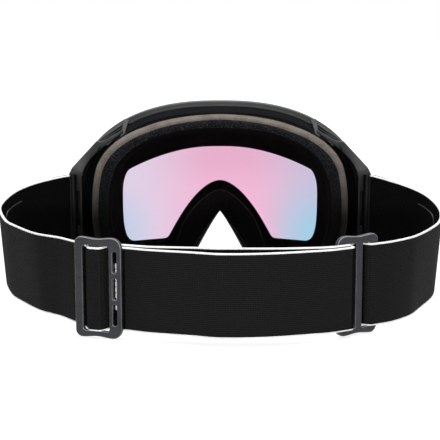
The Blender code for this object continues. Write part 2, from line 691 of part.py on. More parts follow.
class Loop:
    """The strap's middle line, measured along its length."""

    def __init__(self):
        self.points = smooth_curve(loop_knots())
        self.lengths = [0.0]
        for a, b in zip(self.points, self.points[1:]):
            self.lengths.append(self.lengths[-1] + (b - a).length)
        self.length = self.lengths[-1]

    def at(self, s):
        """The point, direction and outward normal at a length along the loop."""
        i = 0
        while i < len(self.lengths) - 2 and self.lengths[i + 1] < s:
            i += 1
        a, b = self.points[i], self.points[i + 1]
        direction = (b - a).normalized()
        point = a + direction * (s - self.lengths[i])
        return point, direction, Vector((direction.y, -direction.x, 0.0))

    def slider_middle(self, side):
        """The length along the loop at the middle of a slider's straight run."""
        first, second, along = run_ends(side)
        near = min(range(len(self.points)), key=lambda i: (self.points[i] - first).length)
        return self.lengths[near] + (second - first).length / 2


def ease(share):
    share = min(max(share, 0.0), 1.0)
    return share * share * (3.0 - 2.0 * share)


def strap_height(point):
    """How far the strap's lower edge stands above the table: it climbs to the outriggers."""
    length = LEFT_RISE_LENGTH if point.x < 0 else RIGHT_RISE_LENGTH
    return STRAP_BOTTOM + STRAP_RISE * ease((point.y - PIN_DEPTH - RISE_END) / length + 1.0)


def offset_at(keys, s):
    for (s0, n0), (s1, n1) in zip(keys, keys[1:]):
        if s0 <= s <= s1:
            return n0 + (n1 - n0) * ease((s - s0) / (s1 - s0))
    return keys[-1][1] if s > keys[-1][0] else keys[0][1]


def slider_marks(centre, turned):
    """Where a slider's bars lie along the loop, from its wide bar to its slotted edge."""
    direction = -1 if turned else 1
    start = centre - direction * SLIDER_WIDTH / 2
    edges = [0.0, WIDE_BAR, WIDE_BAR + STRAP_WINDOW, WIDE_BAR + STRAP_WINDOW + CENTRE_BAR,
             WIDE_BAR + 2 * STRAP_WINDOW + CENTRE_BAR, SLIDER_WIDTH]
    return [start + direction * edge for edge in edges]


def strap_routes(loop):
    """How far out of the loop's middle line each strap runs, with its two ends."""
    left = slider_marks(loop.slider_middle(-1), False)
    right = slider_marks(loop.slider_middle(1), True)
    behind = OVER_BAR + LOOSE_BEHIND
    between = (left[5] + right[5]) / 2
    left_keys = [(0.0, 0.0), (left[0] - LAY_IN, 0.0), (left[0], -behind), (left[1], -OVER_BAR),
                 (left[2], OVER_BAR), (left[3], OVER_BAR), (left[4], -UNDER_LAYER), (left[5], -UNDER_LAYER),
                 (between, -UNDER_LAYER - INNER_BOW), (right[5], -UNDER_LAYER), (loop.length, -UNDER_LAYER)]
    turned = INNER_SLIDER_SHIFT
    right_keys = [(0.0, -OVER_BAR), (right[4], -OVER_BAR), (right[3], turned - OVER_BAR),
                  (right[2], turned - OVER_BAR), (right[1], turned + OVER_BAR),
                  (right[0] + 1.0, turned + OVER_BAR), (right[0] + LAY_IN, 0.0), (loop.length, 0.0)]
    return {"left": (left_keys, 0.0, right[4] - GAP), "right": (right_keys, left[4] + GAP, loop.length)}


def strap_stations(start, end, marks):
    """Lengths along a strap, closer together where it weaves through a slider."""
    wide, fine = 4.0, 1.05
    stations = [start]
    while stations[-1] < end:
        near = any(low - 4.0 < stations[-1] < high + 4.0 for low, high in marks)
        stations.append(stations[-1] + (fine if near else wide))
    stations[-1] = end
    if stations[-1] - stations[-2] < 0.3:
        del stations[-2]
    return stations


def add_straps(loop):
    marks = []
    for _, side in SIDES:
        edges = slider_marks(loop.slider_middle(side), side > 0)
        marks.append((min(edges), max(edges)))
    for name, (keys, start, end) in strap_routes(loop).items():
        bm = bmesh.new()
        rows = []
        for s in strap_stations(start, end, marks):
            point, _, normal = loop.at(s)
            centre = point + normal * offset_at(keys, s)
            low = strap_height(point)
            rows.append([bm.verts.new((centre.x, centre.y, z)) for z in (low, low + STRAP_WIDTH)])
        for row, following in zip(rows, rows[1:]):
            bm.faces.new((row[0], following[0], following[1], row[1]))
        strap = put(name + "_strap", bm, STRAP_BLACK)
        webbing = strap.modifiers.new("thickness", "SOLIDIFY")
        webbing.thickness = STRAP_THICKNESS * MM
        webbing.offset = 0.0
        webbing.use_even_offset = True


def slider_cuts():
    """Windows and stitch slots of a slider, in its own plane, from its middle."""
    edge = -SLIDER_WIDTH / 2 + WIDE_BAR
    half = WINDOW_HEIGHT / 2
    cuts = [("window", edge, edge + STRAP_WINDOW, -half, half)]
    edge += STRAP_WINDOW + CENTRE_BAR
    cuts.append(("window_beside", edge, edge + STRAP_WINDOW, -half, half))
    edge += STRAP_WINDOW + INNER_SLOT_BAR
    room = (WINDOW_HEIGHT - (STITCH_SLOTS - 1) * SLOT_BRIDGE - 2 * SLOT_BRIDGE) / STITCH_SLOTS
    for i in range(STITCH_SLOTS):
        low = -half + SLOT_BRIDGE + i * (room + SLOT_BRIDGE)
        cuts.append(("stitch_slot_%d" % (i + 1), edge, edge + STITCH_SLOT, low, low + room))
    return cuts


def add_sliders(loop):
    for name, side in SIDES:
        point, direction, normal = loop.at(loop.slider_middle(side))
        if side > 0:
            point = point + normal * INNER_SLIDER_SHIFT
            direction = -direction
            normal = -normal
        frame = Matrix((direction, -normal, Vector((0.0, 0.0, 1.0)))).transposed().to_4x4()
        centre = Vector((point.x, point.y, SLIDER_HEIGHT / 2))
        half = Vector((SLIDER_WIDTH / 2, BAR_THICKNESS / 2, SLIDER_HEIGHT / 2))
        plate = box_mesh(-half, half)
        upright = [e for e in plate.edges if abs(e.verts[0].co.y - e.verts[1].co.y) > GAP]
        bmesh.ops.bevel(plate, geom=upright, offset=SLIDER_CORNER, segments=3, profile=0.5, affect="EDGES")
        slider = put(name + "_slider", plate, SLIDER_SLATE)
        standing = Matrix.Translation(centre * MM) @ frame
        slider.matrix_local = standing
        for label, left, right, low, high in slider_cuts():
            window = box_mesh((left, -BAR_THICKNESS, low), (right, BAR_THICKNESS, high))
            cutter = put(name + "_slider_" + label, window, None)
            cutter.matrix_local = standing
            cut(slider, cutter)


def stand_on_origin():
    """Moves the whole part so that its footprint's middle lies at the origin along Y."""
    bpy.context.view_layer.update()
    graph = bpy.context.evaluated_depsgraph_get()
    depths = []
    for part in PARTS.objects:
        if part.type == "MESH":
            shape = part.evaluated_get(graph)
            mesh = shape.to_mesh()
            depths += [(shape.matrix_world @ v.co).y for v in mesh.vertices]
            shape.to_mesh_clear()
    ASSEMBLY.location.y = -(min(depths) + max(depths)) / 2
    bpy.context.view_layer.update()


clear_scene()
PARTS = new_collection("ski_goggles")
CUTTERS = new_collection("cutters")
ASSEMBLY = bpy.data.objects.new("goggles_origin", None)
PARTS.objects.link(ASSEMBLY)

SIDES = (("left", -1), ("right", 1))

FRAME_GREY = finish("frame_grey", (0.055, 0.058, 0.062), 0.55)
VENT_BLACK = finish("vent_black", (0.012, 0.012, 0.013), 0.95)
FOAM_BLACK = finish("foam_black", (0.014, 0.012, 0.011), 0.95)
FOAM_BROWN = finish("foam_brown", (0.16, 0.14, 0.125), 0.95)
FLEECE_GREY = finish("fleece_grey", (0.022, 0.023, 0.025), 0.95)
SEAL_BLACK = finish("seal_black", (0.015, 0.015, 0.015), 0.85)
LENS_CLEAR = finish("lens_clear", (0.85, 0.85, 0.86), 0.05)
LENS_TINT = finish("lens_tint", (0.75, 0.45, 0.6), 0.05)
STRAP_BLACK = finish("strap_black", (0.02, 0.02, 0.021), 0.85)
SLIDER_SLATE = finish("slider_slate", (0.07, 0.08, 0.095), 0.4)
STEEL = finish("pin_steel", (0.55, 0.55, 0.56), 0.3, 1.0)

shell = add_frame()
add_vent_foam()
add_face_foam()
add_lens_module()
add_latches(shell)
add_outriggers()
strap_loop = Loop()
add_straps(strap_loop)
add_sliders(strap_loop)
stand_on_origin()
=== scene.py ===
"""Ski goggles, dressed for the studio: moulded frame, face foam, tinted double lens and knitted strap.

Sizes are millimetres and the scene is in metres. Depths are counted forward from the strap pins, as the
goggles are worn, and heights up from the table.
"""

import math

import bmesh
import bpy
from mathutils import Matrix, Vector


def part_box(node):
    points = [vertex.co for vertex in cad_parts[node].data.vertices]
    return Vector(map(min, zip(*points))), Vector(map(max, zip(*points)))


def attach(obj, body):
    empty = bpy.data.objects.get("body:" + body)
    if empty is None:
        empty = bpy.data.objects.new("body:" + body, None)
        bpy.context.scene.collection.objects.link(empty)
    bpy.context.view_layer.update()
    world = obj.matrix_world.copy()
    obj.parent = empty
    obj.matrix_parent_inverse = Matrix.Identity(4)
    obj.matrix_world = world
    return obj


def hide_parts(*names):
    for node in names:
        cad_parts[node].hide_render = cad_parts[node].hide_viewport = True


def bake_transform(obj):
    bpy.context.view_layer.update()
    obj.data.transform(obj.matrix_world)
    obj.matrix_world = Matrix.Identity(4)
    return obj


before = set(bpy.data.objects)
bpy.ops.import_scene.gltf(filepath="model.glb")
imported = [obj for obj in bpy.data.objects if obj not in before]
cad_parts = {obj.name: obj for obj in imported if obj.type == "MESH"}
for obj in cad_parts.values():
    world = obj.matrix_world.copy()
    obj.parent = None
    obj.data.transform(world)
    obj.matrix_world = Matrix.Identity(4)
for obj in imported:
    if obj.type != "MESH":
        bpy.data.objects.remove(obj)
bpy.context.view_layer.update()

MM = 0.001
SIDES = (("left", -1), ("right", 1))

# Pin depth, and the shift from goggle depths to the row frame
PIN_DEPTH = -3.03
PIN_X = 87.2
pin_low, pin_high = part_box("left_strap_pin")
DEPTH_SHIFT = (pin_low[1] + pin_high[1]) / 2 - PIN_DEPTH * MM

# Wrap of the frame round the face, and its depths
WRAP_RADIUS = 118.0
WIDEST_HEIGHT = 43.0
CHEEK_ROUNDNESS = 2.4
LENS_SEAT = 52.0
LIP_FRONT = 56.0
RIM_REAR = 42.0
RECESS_FRONT = 49.0
FLANGE_FRONT = 29.5
FLANGE_REAR = 26.3

# Zones along the brow, as shares of the half width
STRUT_END = 0.6835
LATCH_END = 0.87
STEP = 0.0025

# Strap and sliders
STRAP_WIDTH = 42.0
STRAP_BOTTOM = 4.7
STRAP_RISE = 16.4
RISE_SHAPE = {"left": (73.0, 1.4), "right": (69.5, 1.15)}
RISE_EASE = 0.1
INNER_LIFT, LIFT_RUN = 1.0, 8.0
TURN_IN = 2.6
# Lean of the strap round the sides and drop of its lower edge: amounts, and where each eases in
SIDE_LEAN, LEAN_PIVOT = 3.2, 0.42
LEAN_IN, LEAN_OUT = (18.0, 32.0), (6.0, 45.0)
EDGE_DROP, DROP_IN = 0.9, (8.0, 22.0)
LOOP_HALF_WIDTH = 121.7
LOOP_DEPTH = 149.5
LAY_IN = 30.0
CLIP_ANGLE = math.radians(58.0)
CLIP_REACH = 3.4 / math.sin(CLIP_ANGLE)
CLIP_PLATE = 14.0
WIDE_BAR, STRAP_WINDOW, CENTRE_BAR = 4.3, 4.9, 4.2
SLOT_BAR, STITCH_SLOT, EDGE_BAR = 2.1, 2.1, 2.6
SLIDER_WIDTH = WIDE_BAR + CENTRE_BAR + 2 * STRAP_WINDOW + SLOT_BAR + STITCH_SLOT + EDGE_BAR
SLIDER_HEIGHT = 51.4
WINDOW_HEIGHT = 43.0
WINDOW_DROP = 0.7
SLOT_BRIDGE = 2.6
BAR_THICKNESS = 2.6
OVER_BAR = 2.7
UNDER_LAYER = 4.7
LOOSE_BEHIND = 5.0
INNER_BOW = 6.5
INNER_SLIDER_SHIFT = -(OVER_BAR + UNDER_LAYER)
BEND_LENGTH = 40.0


def ease(share):
    share = min(max(share, 0.0), 1.0)
    return share * share * (3.0 - 2.0 * share)


def row(point):
    """A point in goggle millimetres, in the row frame's metres."""
    return Vector((point[0] * MM, point[1] * MM + DEPTH_SHIFT, point[2] * MM))


# -------- shared finishes
PER_METRE = 1000.0


class Wiring:
    """Short hand for placing and joining nodes in one tree."""

    def __init__(self, tree):
        self.tree = tree

    def node(self, kind, **settings):
        made = self.tree.nodes.new(kind)
        for key, value in settings.items():
            setattr(made, key, value)
        return made

    def feed(self, node, socket, value):
        """Gives a node's input a number or a colour, or joins another node's output to it."""
        if isinstance(value, tuple):
            node.inputs[socket].default_value = (*value, 1.0)
        elif isinstance(value, (int, float)):
            node.inputs[socket].default_value = value
        else:
            self.tree.links.new(value, node.inputs[socket])

    def feed_all(self, node, values):
        for socket, value in values.items():
            self.feed(node, socket, value)

    def math(self, operation, *values):
        made = self.node("ShaderNodeMath", operation=operation)
        self.feed_all(made, dict(enumerate(values)))
        return made.outputs[0]

    def times(self, first, second):
        return self.math("MULTIPLY", first, second)

    def plus(self, first, second):
        return self.math("ADD", first, second)

    def spread(self, value, low, high, to_low=0.0, to_high=1.0, smooth=True):
        made = self.node("ShaderNodeMapRange")
        made.interpolation_type = "SMOOTHSTEP" if smooth else "LINEAR"
        self.feed_all(made, dict(enumerate((value, low, high, to_low, to_high))))
        return made.outputs[0]

    def noise(self, place, scale, detail=2.0, roughness=0.5):
        made = self.node("ShaderNodeTexNoise")
        self.feed_all(made, {"Vector": place, "Scale": scale, "Detail": detail, "Roughness": roughness})
        return made.outputs[0]

    def blend(self, share, first, second):
        """A colour between two, each a colour or a socket."""
        made = self.node("ShaderNodeMix", data_type="RGBA")
        self.feed_all(made, {0: share, 6: first, 7: second})
        return made.outputs[2]

    def split(self, vector):
        parts = self.node("ShaderNodeSeparateXYZ")
        self.feed(parts, 0, vector)
        return parts.outputs

    def place(self):
        return self.node("ShaderNodeTexCoord").outputs["Object"]

    def use(self, group, *values):
        """The outputs of a shared group with its own input values."""
        made = self.node("ShaderNodeGroup", node_tree=group)
        self.feed_all(made, dict(enumerate(values)))
        return made.outputs

    def bump(self, shader, height, strength, distance_mm):
        made = self.node("ShaderNodeBump")
        self.feed_all(made, {"Strength": strength, "Distance": distance_mm * MM, "Height": height})
        self.feed(shader, "Normal", made.outputs[0])


def new_group(name, inputs, outputs):
    """A shared group of number sockets: its wiring, what it is given and its output node."""
    group = bpy.data.node_groups.new(name, "ShaderNodeTree")
    for label, value in inputs.items():
        socket = group.interface.new_socket(name=label, in_out="INPUT", socket_type="NodeSocketFloat")
        socket.default_value = value
    for label in outputs:
        group.interface.new_socket(name=label, in_out="OUTPUT", socket_type="NodeSocketFloat")
    w = Wiring(group)
    return w, w.node("NodeGroupInput").outputs, w.node("NodeGroupOutput")


def moulded_grain():
    """Fine spark-eroded grain of moulded plastic, with broad uneven patches and rubbed high spots."""
    w, given, out = new_group("moulded_grain", {"Grain size mm": 0.35, "Patch size mm": 14.0},
                              ("Height", "Patches", "Rubbed"))
    place = w.place()
    fine = w.math("DIVIDE", PER_METRE, given[0])
    broad = w.math("DIVIDE", PER_METRE, given[1])
    scuffs = w.noise(place, w.times(broad, 4.0), 4.0, 0.7)
    w.feed_all(out, {0: w.noise(place, fine, 3.0, 0.6), 1: w.noise(place, broad, 3.0, 0.55),
                     2: w.spread(scuffs, 0.56, 0.74)})
    return w.tree


def fibre_speckle():
    """Short fibres and open cells of foam and fleece."""
    w, given, out = new_group("fibre_speckle", {"Cell size mm": 0.8, "Speckle share": 0.35},
                              ("Height", "Speckle", "Shade"))
    place = w.place()
    scale = w.math("DIVIDE", PER_METRE, given[0])
    cells = w.node("ShaderNodeTexVoronoi", feature="F1")
    w.feed_all(cells, {"Vector": place, "Scale": scale})
    fluff = w.noise(place, w.times(scale, 1.7), 4.0, 0.65)
    grains = w.noise(place, w.times(scale, 0.8), 5.0, 0.8)
    low = w.math("SUBTRACT", 0.72, w.times(given[1], 0.4))
    w.feed_all(out, {0: w.plus(w.times(cells.outputs["Distance"], 0.6), w.times(fluff, 0.8)),
                     1: w.spread(grains, low, w.plus(low, 0.14)),
                     2: w.noise(place, w.times(scale, 0.06), 3.0, 0.6)})
    return w.tree


def knit_rows():
    """Rows of knitted yarn along a strap, read from its length and width map."""
    w, given, out = new_group("knit_rows", {"Row pitch mm": 0.9, "Stitch pitch mm": 1.1},
                              ("Height", "Yarn", "Shade"))
    strap_map = w.node("ShaderNodeUVMap", uv_map="strap map").outputs[0]
    along, across, _ = w.split(strap_map)
    rows = w.math("DIVIDE", w.times(across, PER_METRE * math.pi), given[0])
    stitches = w.math("DIVIDE", w.times(along, 2.0 * PER_METRE * math.pi), given[1])
    wave = w.math("SINE", rows)
    ridge = w.math("POWER", w.math("ABSOLUTE", wave), 0.6)
    loops = w.plus(w.times(w.math("SINE", w.plus(stitches, w.times(wave, 1.4))), 0.5), 0.5)
    height = w.times(ridge, w.plus(0.45, w.times(loops, 0.55)))
    fuzz = w.noise(strap_map, 1400.0, 3.0, 0.7)
    w.feed_all(out, {0: height, 1: w.times(w.plus(height, 0.25), w.plus(0.4, fuzz)),
                     2: w.noise(strap_map, 60.0, 3.0, 0.6)})
    return w.tree


def settled_dust():
    """Pale dust on faces that look up."""
    w, given, out = new_group("settled_dust", {"Amount": 0.25}, ("Dust",))
    _, _, up = w.split(w.node("ShaderNodeNewGeometry").outputs["Normal"])
    drift = w.noise(w.place(), 220.0, 4.0, 0.7)
    dust = w.times(w.spread(up, 0.3, 1.0), w.spread(drift, 0.35, 0.75))
    w.feed(out, 0, w.times(dust, given[0]))
    return w.tree


GRAIN = moulded_grain()
SPECKLE = fibre_speckle()
KNIT = knit_rows()
DUST = settled_dust()
PATCH_SIZE = 14.0
PLASTIC_DUST = (0.25, 0.25, 0.26)
FOAM_DUST = (0.3, 0.29, 0.28)
# Colour of the painted shade low down, where the strap and frame cast shade
DEEP_SHADE = (0.0015, 0.0013, 0.0013)


def blank_finish(name, roughness):
    material = bpy.data.materials.new(name)
    material.use_nodes = True
    shader = material.node_tree.nodes["Principled BSDF"]
    w = Wiring(material.node_tree)
    w.feed(shader, "Roughness", roughness)
    return material, shader, w


def height_shade(w, tone, low, high, least):
    """Painted shade: a tone that darkens towards the table, between two heights in metres."""
    _, _, z = w.split(w.place())
    return w.blend(w.spread(z, low, high, 1.0 - least, 0.0), tone, DEEP_SHADE)


def moulded_plastic(name, dark, light, rubbed, roughness, grain_size=0.35, depth=0.05, dust=0.2,
                    shine=0.5, shade=None):
    """Satin moulded plastic: patches between two tones, rubbed spots, grain and a little dust, with painted
    shade towards the table when shade is given.
    """
    material, shader, w = blank_finish(name, roughness)
    grain = w.use(GRAIN, grain_size, PATCH_SIZE)
    tone = w.blend(w.spread(grain["Patches"], 0.3, 0.7), dark, light)
    tone = w.blend(w.times(grain["Rubbed"], 0.25), tone, rubbed)
    tone = w.blend(w.use(DUST, dust)[0], tone, PLASTIC_DUST)
    if shade:
        tone = height_shade(w, tone, *shade)
    gloss = w.spread(grain["Patches"], 0.25, 0.75, roughness - 0.06, roughness + 0.08)
    gloss = w.math("SUBTRACT", gloss, w.times(grain["Rubbed"], 0.08))
    w.feed_all(shader, {"Base Color": tone, "Roughness": gloss, "Specular IOR Level": shine})
    w.bump(shader, grain["Height"], 0.35, depth)
    return material


def soft_foam(name, dark, light, fleck, cell_size, flecks, depth, dust=0.1, sheen=0.0, shade=None):
    """Foam or fleece: two tones, paler flecks of fibre and a soft open surface, with painted shade towards
    the table when shade is given.
    """
    material, shader, w = blank_finish(name, 0.95)
    fibre = w.use(SPECKLE, cell_size, flecks)
    tone = w.blend(w.spread(fibre["Shade"], 0.3, 0.7), dark, light)
    tone = w.blend(w.times(fibre["Speckle"], 0.75), tone, fleck)
    tone = w.blend(w.use(DUST, dust)[0], tone, FOAM_DUST)
    if shade:
        tone = height_shade(w, tone, *shade)
    w.feed_all(shader, {"Base Color": tone, "Roughness": w.spread(fibre["Height"], 0.2, 0.9, 0.86, 1.0),
                        "Sheen Weight": sheen, "Sheen Roughness": 0.5, "Specular IOR Level": 0.05})
    w.bump(shader, fibre["Height"], 0.8, depth)
    return material


def knitted(name, dark, light, row_pitch, stitch_pitch, depth, sheen, shine=0.08):
    """Knitted elastic webbing."""
    material, shader, w = blank_finish(name, 0.85)
    knit = w.use(KNIT, row_pitch, stitch_pitch)
    tone = w.blend(w.spread(knit["Yarn"], 0.15, 0.85), dark, light)
    worn = tuple(0.7 * part for part in light)
    tone = w.blend(w.spread(knit["Shade"], 0.45, 0.85, 0.0, 0.5), tone, worn)
    w.feed_all(shader, {"Base Color": tone, "Roughness": w.spread(knit["Yarn"], 0.1, 0.9, 0.95, 0.75),
                        "Sheen Weight": sheen, "Sheen Roughness": 0.4, "Specular IOR Level": shine})
    w.bump(shader, knit["Height"], 0.7, depth)
    return material


def pin_steel():
    material, shader, w = blank_finish("pin_steel", 0.3)
    grain = w.use(GRAIN, 0.2, 5.0)
    w.feed_all(shader, {"Metallic": 1.0,
                        "Base Color": w.blend(grain["Patches"], (0.42, 0.42, 0.43), (0.62, 0.62, 0.63)),
                        "Roughness": w.spread(grain["Height"], 0.2, 0.8, 0.22, 0.42)})
    w.bump(shader, grain["Height"], 0.2, 0.02)
    return material


LENS_PINK = (0.93, 0.51, 0.7)
LENS_ROSE = (0.84, 0.455, 0.63)
LENS_LAVENDER = (0.79, 0.665, 0.825)
LENS_HAZE = (0.59, 0.57, 0.745)
LENS_BLUE = (0.38, 0.66, 0.83)


def tinted(w, _):
    """Rose at the brow, pink in the middle, lavender at the sides and blue in the lower outer corners."""
    place = w.place()
    x, _, z = w.split(place)
    side = w.blend(w.spread(x, -0.03, 0.055), LENS_LAVENDER, LENS_HAZE)
    pale = w.spread(w.math("ABSOLUTE", w.math("SUBTRACT", x, 0.004)), 0.008, 0.062)
    outer = w.spread(w.math("ABSOLUTE", w.plus(x, 0.004)), 0.03, 0.066)
    low = w.spread(z, 0.058, 0.016)
    right = w.spread(x, -0.03, 0.05, 0.7, 1.0)
    drift = w.noise(place, 26.0, 2.0, 0.5)
    middle = w.blend(w.spread(z, 0.042, 0.066), LENS_PINK, LENS_ROSE)
    tone = w.blend(w.plus(pale, w.spread(drift, 0.3, 0.7, -0.05, 0.05)), middle, side)
    return w.blend(w.times(w.times(outer, low), right), tone, LENS_BLUE)


def clear(w, patches):
    return w.blend(patches, (0.97, 0.97, 0.985), (0.99, 0.985, 0.99))


def lens_plastic(name, tone_of, patch_size):
    """See-through lens with a faint uneven film."""
    material, shader, w = blank_finish(name, 0.02)
    patches = w.use(GRAIN, 3.0, patch_size)["Patches"]
    w.feed_all(shader, {"Base Color": tone_of(w, patches), "Specular IOR Level": 0.08,
                        "Transmission Weight": 1.0, "IOR": 1.18,
                        "Roughness": w.spread(patches, 0.35, 0.7, 0.01, 0.03)})
    return material


FRAME_SATIN = moulded_plastic("frame_satin", (0.033, 0.0345, 0.034), (0.045, 0.047, 0.0465),
                              (0.075, 0.077, 0.078), 0.5, shine=0.25)
LEAF_SATIN = moulded_plastic("leaf_satin", (0.022, 0.0225, 0.0235), (0.031, 0.032, 0.033),
                             (0.06, 0.061, 0.063), 0.5, dust=0.1, shine=0.15)
ARM_SATIN = moulded_plastic("arm_satin", (0.025, 0.0255, 0.0265), (0.036, 0.0365, 0.038),
                            (0.065, 0.066, 0.068), 0.5, dust=0.1, shine=0.18)
# Painted shade: the frame's inner wall and the walls behind the rim take these near-black copies of the
# frame plastic
FRAME_INSIDE_SHADE = moulded_plastic("frame_inside_shade", (0.0017, 0.0013, 0.0013), (0.0033, 0.0025, 0.0025),
                               (0.008, 0.0063, 0.0063), 0.8, 0.6, 0.08, 0.0, 0.03)
FRAME_SHADE = moulded_plastic("frame_shade", (0.003, 0.0031, 0.0036), (0.0048, 0.0049, 0.0056),
                              (0.0085, 0.0088, 0.0098), 0.6, 0.4, 0.05, 0.0, 0.06)
# Lug and strap clip: painted shade, toned darker than the frame's plastic and darkened much further below
# about 62 to 66 mm high, beside the strap
LUG_SATIN = moulded_plastic("lug_satin", (0.022, 0.0225, 0.0235), (0.03, 0.0305, 0.032),
                            (0.05, 0.051, 0.053), 0.45, 0.35, 0.05, 0.05, 0.12, (0.0618, 0.0655, 0.14))
CLIP_SATIN = moulded_plastic("clip_satin", (0.018, 0.0185, 0.0195), (0.025, 0.0255, 0.027),
                             (0.045, 0.046, 0.048), 0.45, 0.35, 0.05, 0.02, 0.08, (0.0615, 0.066, 0.14))
SLIDER_SATIN = moulded_plastic("slider_satin", (0.0165, 0.0175, 0.022), (0.023, 0.0243, 0.03),
                               (0.07, 0.073, 0.083), 0.3, 0.28, 0.03, 0.05, 0.4)
# Painted highlights: the slider's rounded edges take a paler copy of its plastic, and the edges that face
# up a paler one still, for the light that they catch
SLIDER_EDGE_HIGHLIGHT = moulded_plastic("slider_edge_highlight", (0.075, 0.077, 0.085), (0.105, 0.108, 0.118),
                              (0.18, 0.184, 0.196), 0.28, 0.28, 0.03, 0.05, 0.5)
SLIDER_GLINT = moulded_plastic("slider_glint", (0.19, 0.195, 0.21), (0.26, 0.265, 0.28),
                               (0.36, 0.364, 0.376), 0.28, 0.28, 0.03, 0.0, 0.5)
VENT_FOAM = soft_foam("vent_foam", (0.0031, 0.0033, 0.004), (0.0056, 0.0059, 0.007),
                      (0.016, 0.017, 0.02), 1.1, 0.3, 0.4, 0.0)
FOAM_DARK = soft_foam("foam_dark", (0.0016, 0.0012, 0.0012), (0.0034, 0.0026, 0.0026),
                      (0.013, 0.0108, 0.0104), 1.0, 0.3, 0.3, 0.0)
# The tan foam and the fleece darken towards the table as painted shade, where the strap shades their lower
# sides
FOAM_TAN = soft_foam("foam_tan", (0.125, 0.106, 0.091), (0.185, 0.16, 0.141), (0.31, 0.278, 0.252),
                     0.55, 0.5, 0.3, 0.05, 0.1, (0.033, 0.08, 0.13))
FLEECE = soft_foam("fleece_charcoal", (0.0028, 0.003, 0.0035), (0.006, 0.0064, 0.0074),
                   (0.075, 0.08, 0.09), 0.55, 0.52, 0.45, 0.0, 0.05, (0.036, 0.08, 0.12))
SEAL_RUBBER = moulded_plastic("seal_rubber", (0.006, 0.006, 0.006), (0.01, 0.01, 0.01),
                              (0.016, 0.016, 0.016), 0.75, 0.8, 0.05, 0.0, 0.1)
WEBBING = knitted("webbing_black", (0.0006, 0.0006, 0.0007), (0.0112, 0.0111, 0.011), 0.95, 1.15,
                  0.35, 0.01)
# Painted shade: the strap's inside face, and its outside where it dives behind a slider bar, take this
# darker copy of the webbing
WEBBING_PAINTED_SHADE = knitted("webbing_painted_shade", (0.0003, 0.0003, 0.0004), (0.002, 0.002, 0.0021), 0.95, 1.15,
                         0.3, 0.0, 0.04)
EDGING = knitted("edging_white", (0.92, 0.92, 0.92), (0.98, 0.98, 0.975), 0.7, 0.8, 0.08, 0.0)
THREAD = soft_foam("thread_white", (0.85, 0.85, 0.84), (0.96, 0.96, 0.95), (0.98, 0.98, 0.98), 0.4, 0.4,
                   0.06, 0.0)
GRIP_SILICONE = moulded_plastic("grip_silicone", (0.022, 0.022, 0.024), (0.034, 0.034, 0.036),
                                (0.06, 0.06, 0.063), 0.35, 0.5, 0.03, 0.0)
STEEL = pin_steel()
LENS_TINT = lens_plastic("lens_tint", tinted, 40.0)
LENS_CLEAR = lens_plastic("lens_clear", clear, 30.0)


# -------- pieces
def finish_mesh(name, bm, materials, angle=35.0):
    """A piece in the row frame from a mesh in goggle millimetres, smooth except at sharp edges."""
    bmesh.ops.recalc_face_normals(bm, faces=bm.faces)
    for vert in bm.verts:
        vert.co = row(vert.co)
    for face in bm.faces:
        face.smooth = True
    mesh = bpy.data.meshes.new(name)
    bm.to_mesh(mesh)
    bm.free()
    mesh.set_sharp_from_angle(angle=math.radians(angle))
    for material in materials:
        mesh.materials.append(material)
    piece = bpy.data.objects.new(name, mesh)
    bpy.context.scene.collection.objects.link(piece)
    return piece


def settle(piece):
    """Applies a piece's modifiers to its mesh."""
    bpy.context.view_layer.update()
    shape = piece.evaluated_get(bpy.context.evaluated_depsgraph_get())
    mesh = bpy.data.meshes.new_from_object(shape)
    piece.modifiers.clear()
    old = piece.data
    piece.data = mesh
    bpy.data.meshes.remove(old)
    mesh.name = piece.name
    return piece


def carry(piece, body, slot, *nodes):
    """Rides the piece on its body and hides the nodes that it stands for; the slot is not used."""
    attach(piece, body)
    if nodes:
        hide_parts(*nodes)
    return piece


# -------- frame outlines
def sag(x):
    return WRAP_RADIUS - math.sqrt(WRAP_RADIUS ** 2 - x ** 2)


class Outline:
    """Half an outline seen from behind: a rounded brow, a cheek and a floor that climbs over the nose."""

    def __init__(self, width, top, bottom, cheek, nose_width, nose_top, brow, nose, lower=CHEEK_ROUNDNESS,
                 fall=0.0):
        self.width, self.top, self.bottom, self.cheek = width, top, bottom, cheek
        self.nose_width, self.nose_top, self.brow, self.nose = nose_width, nose_top, brow, nose
        self.lower, self.fall = lower, fall

    def point(self, stretch, share):
        if stretch == "brow":
            rise = max(1.0 - share ** self.brow, 0.0) ** (1.0 / self.brow)
            x, z = self.width * share, WIDEST_HEIGHT + (self.top - WIDEST_HEIGHT) * rise
            if self.fall:
                arch = self.top + 0.3 - self.fall * x * x
                z = (z + arch - math.hypot(z - arch, 0.6)) / 2
            return x, z
        if stretch == "cheek":
            angle, power = share * math.pi / 2, 2.0 / self.lower
            x = self.cheek + (self.width - self.cheek) * max(math.cos(angle), 0.0) ** power
            return x, WIDEST_HEIGHT - (WIDEST_HEIGHT - self.bottom) * math.sin(angle) ** power
        x = self.cheek * (1.0 - share)
        arch = self.nose_top - (self.nose_top - self.bottom) * (x / self.nose_width) ** self.nose
        return x, (self.bottom + arch + math.hypot(arch - self.bottom, CORNER_EASE)) / 2


CORNER_EASE = 2.0
LINES = (Outline(87.0, 102.5, 0.0, 50.0, 18.9, 33.3, 2.5, 1.12),
         Outline(76.8, 97.6, 2.5, 50.0, 22.5, 37.0, 2.6, 1.15),
         Outline(66.5, 88.5, 8.0, 50.0, 28.5, 43.0, 2.6, 1.3),
         Outline(60.6, 73.9, 14.8, 52.0, 33.2, 51.6, 3.1, 1.8, 3.2, 0.0041))

BROW_EDGES = (STRUT_END, STRUT_END + STEP, LATCH_END, LATCH_END + STEP)
FLOOR_VENT = (0.096, 0.504)
BROW_STEPS, CHEEK_STEPS, FLOOR_STEPS = 56, 26, 48
EDGE_CLEARANCE = 0.004


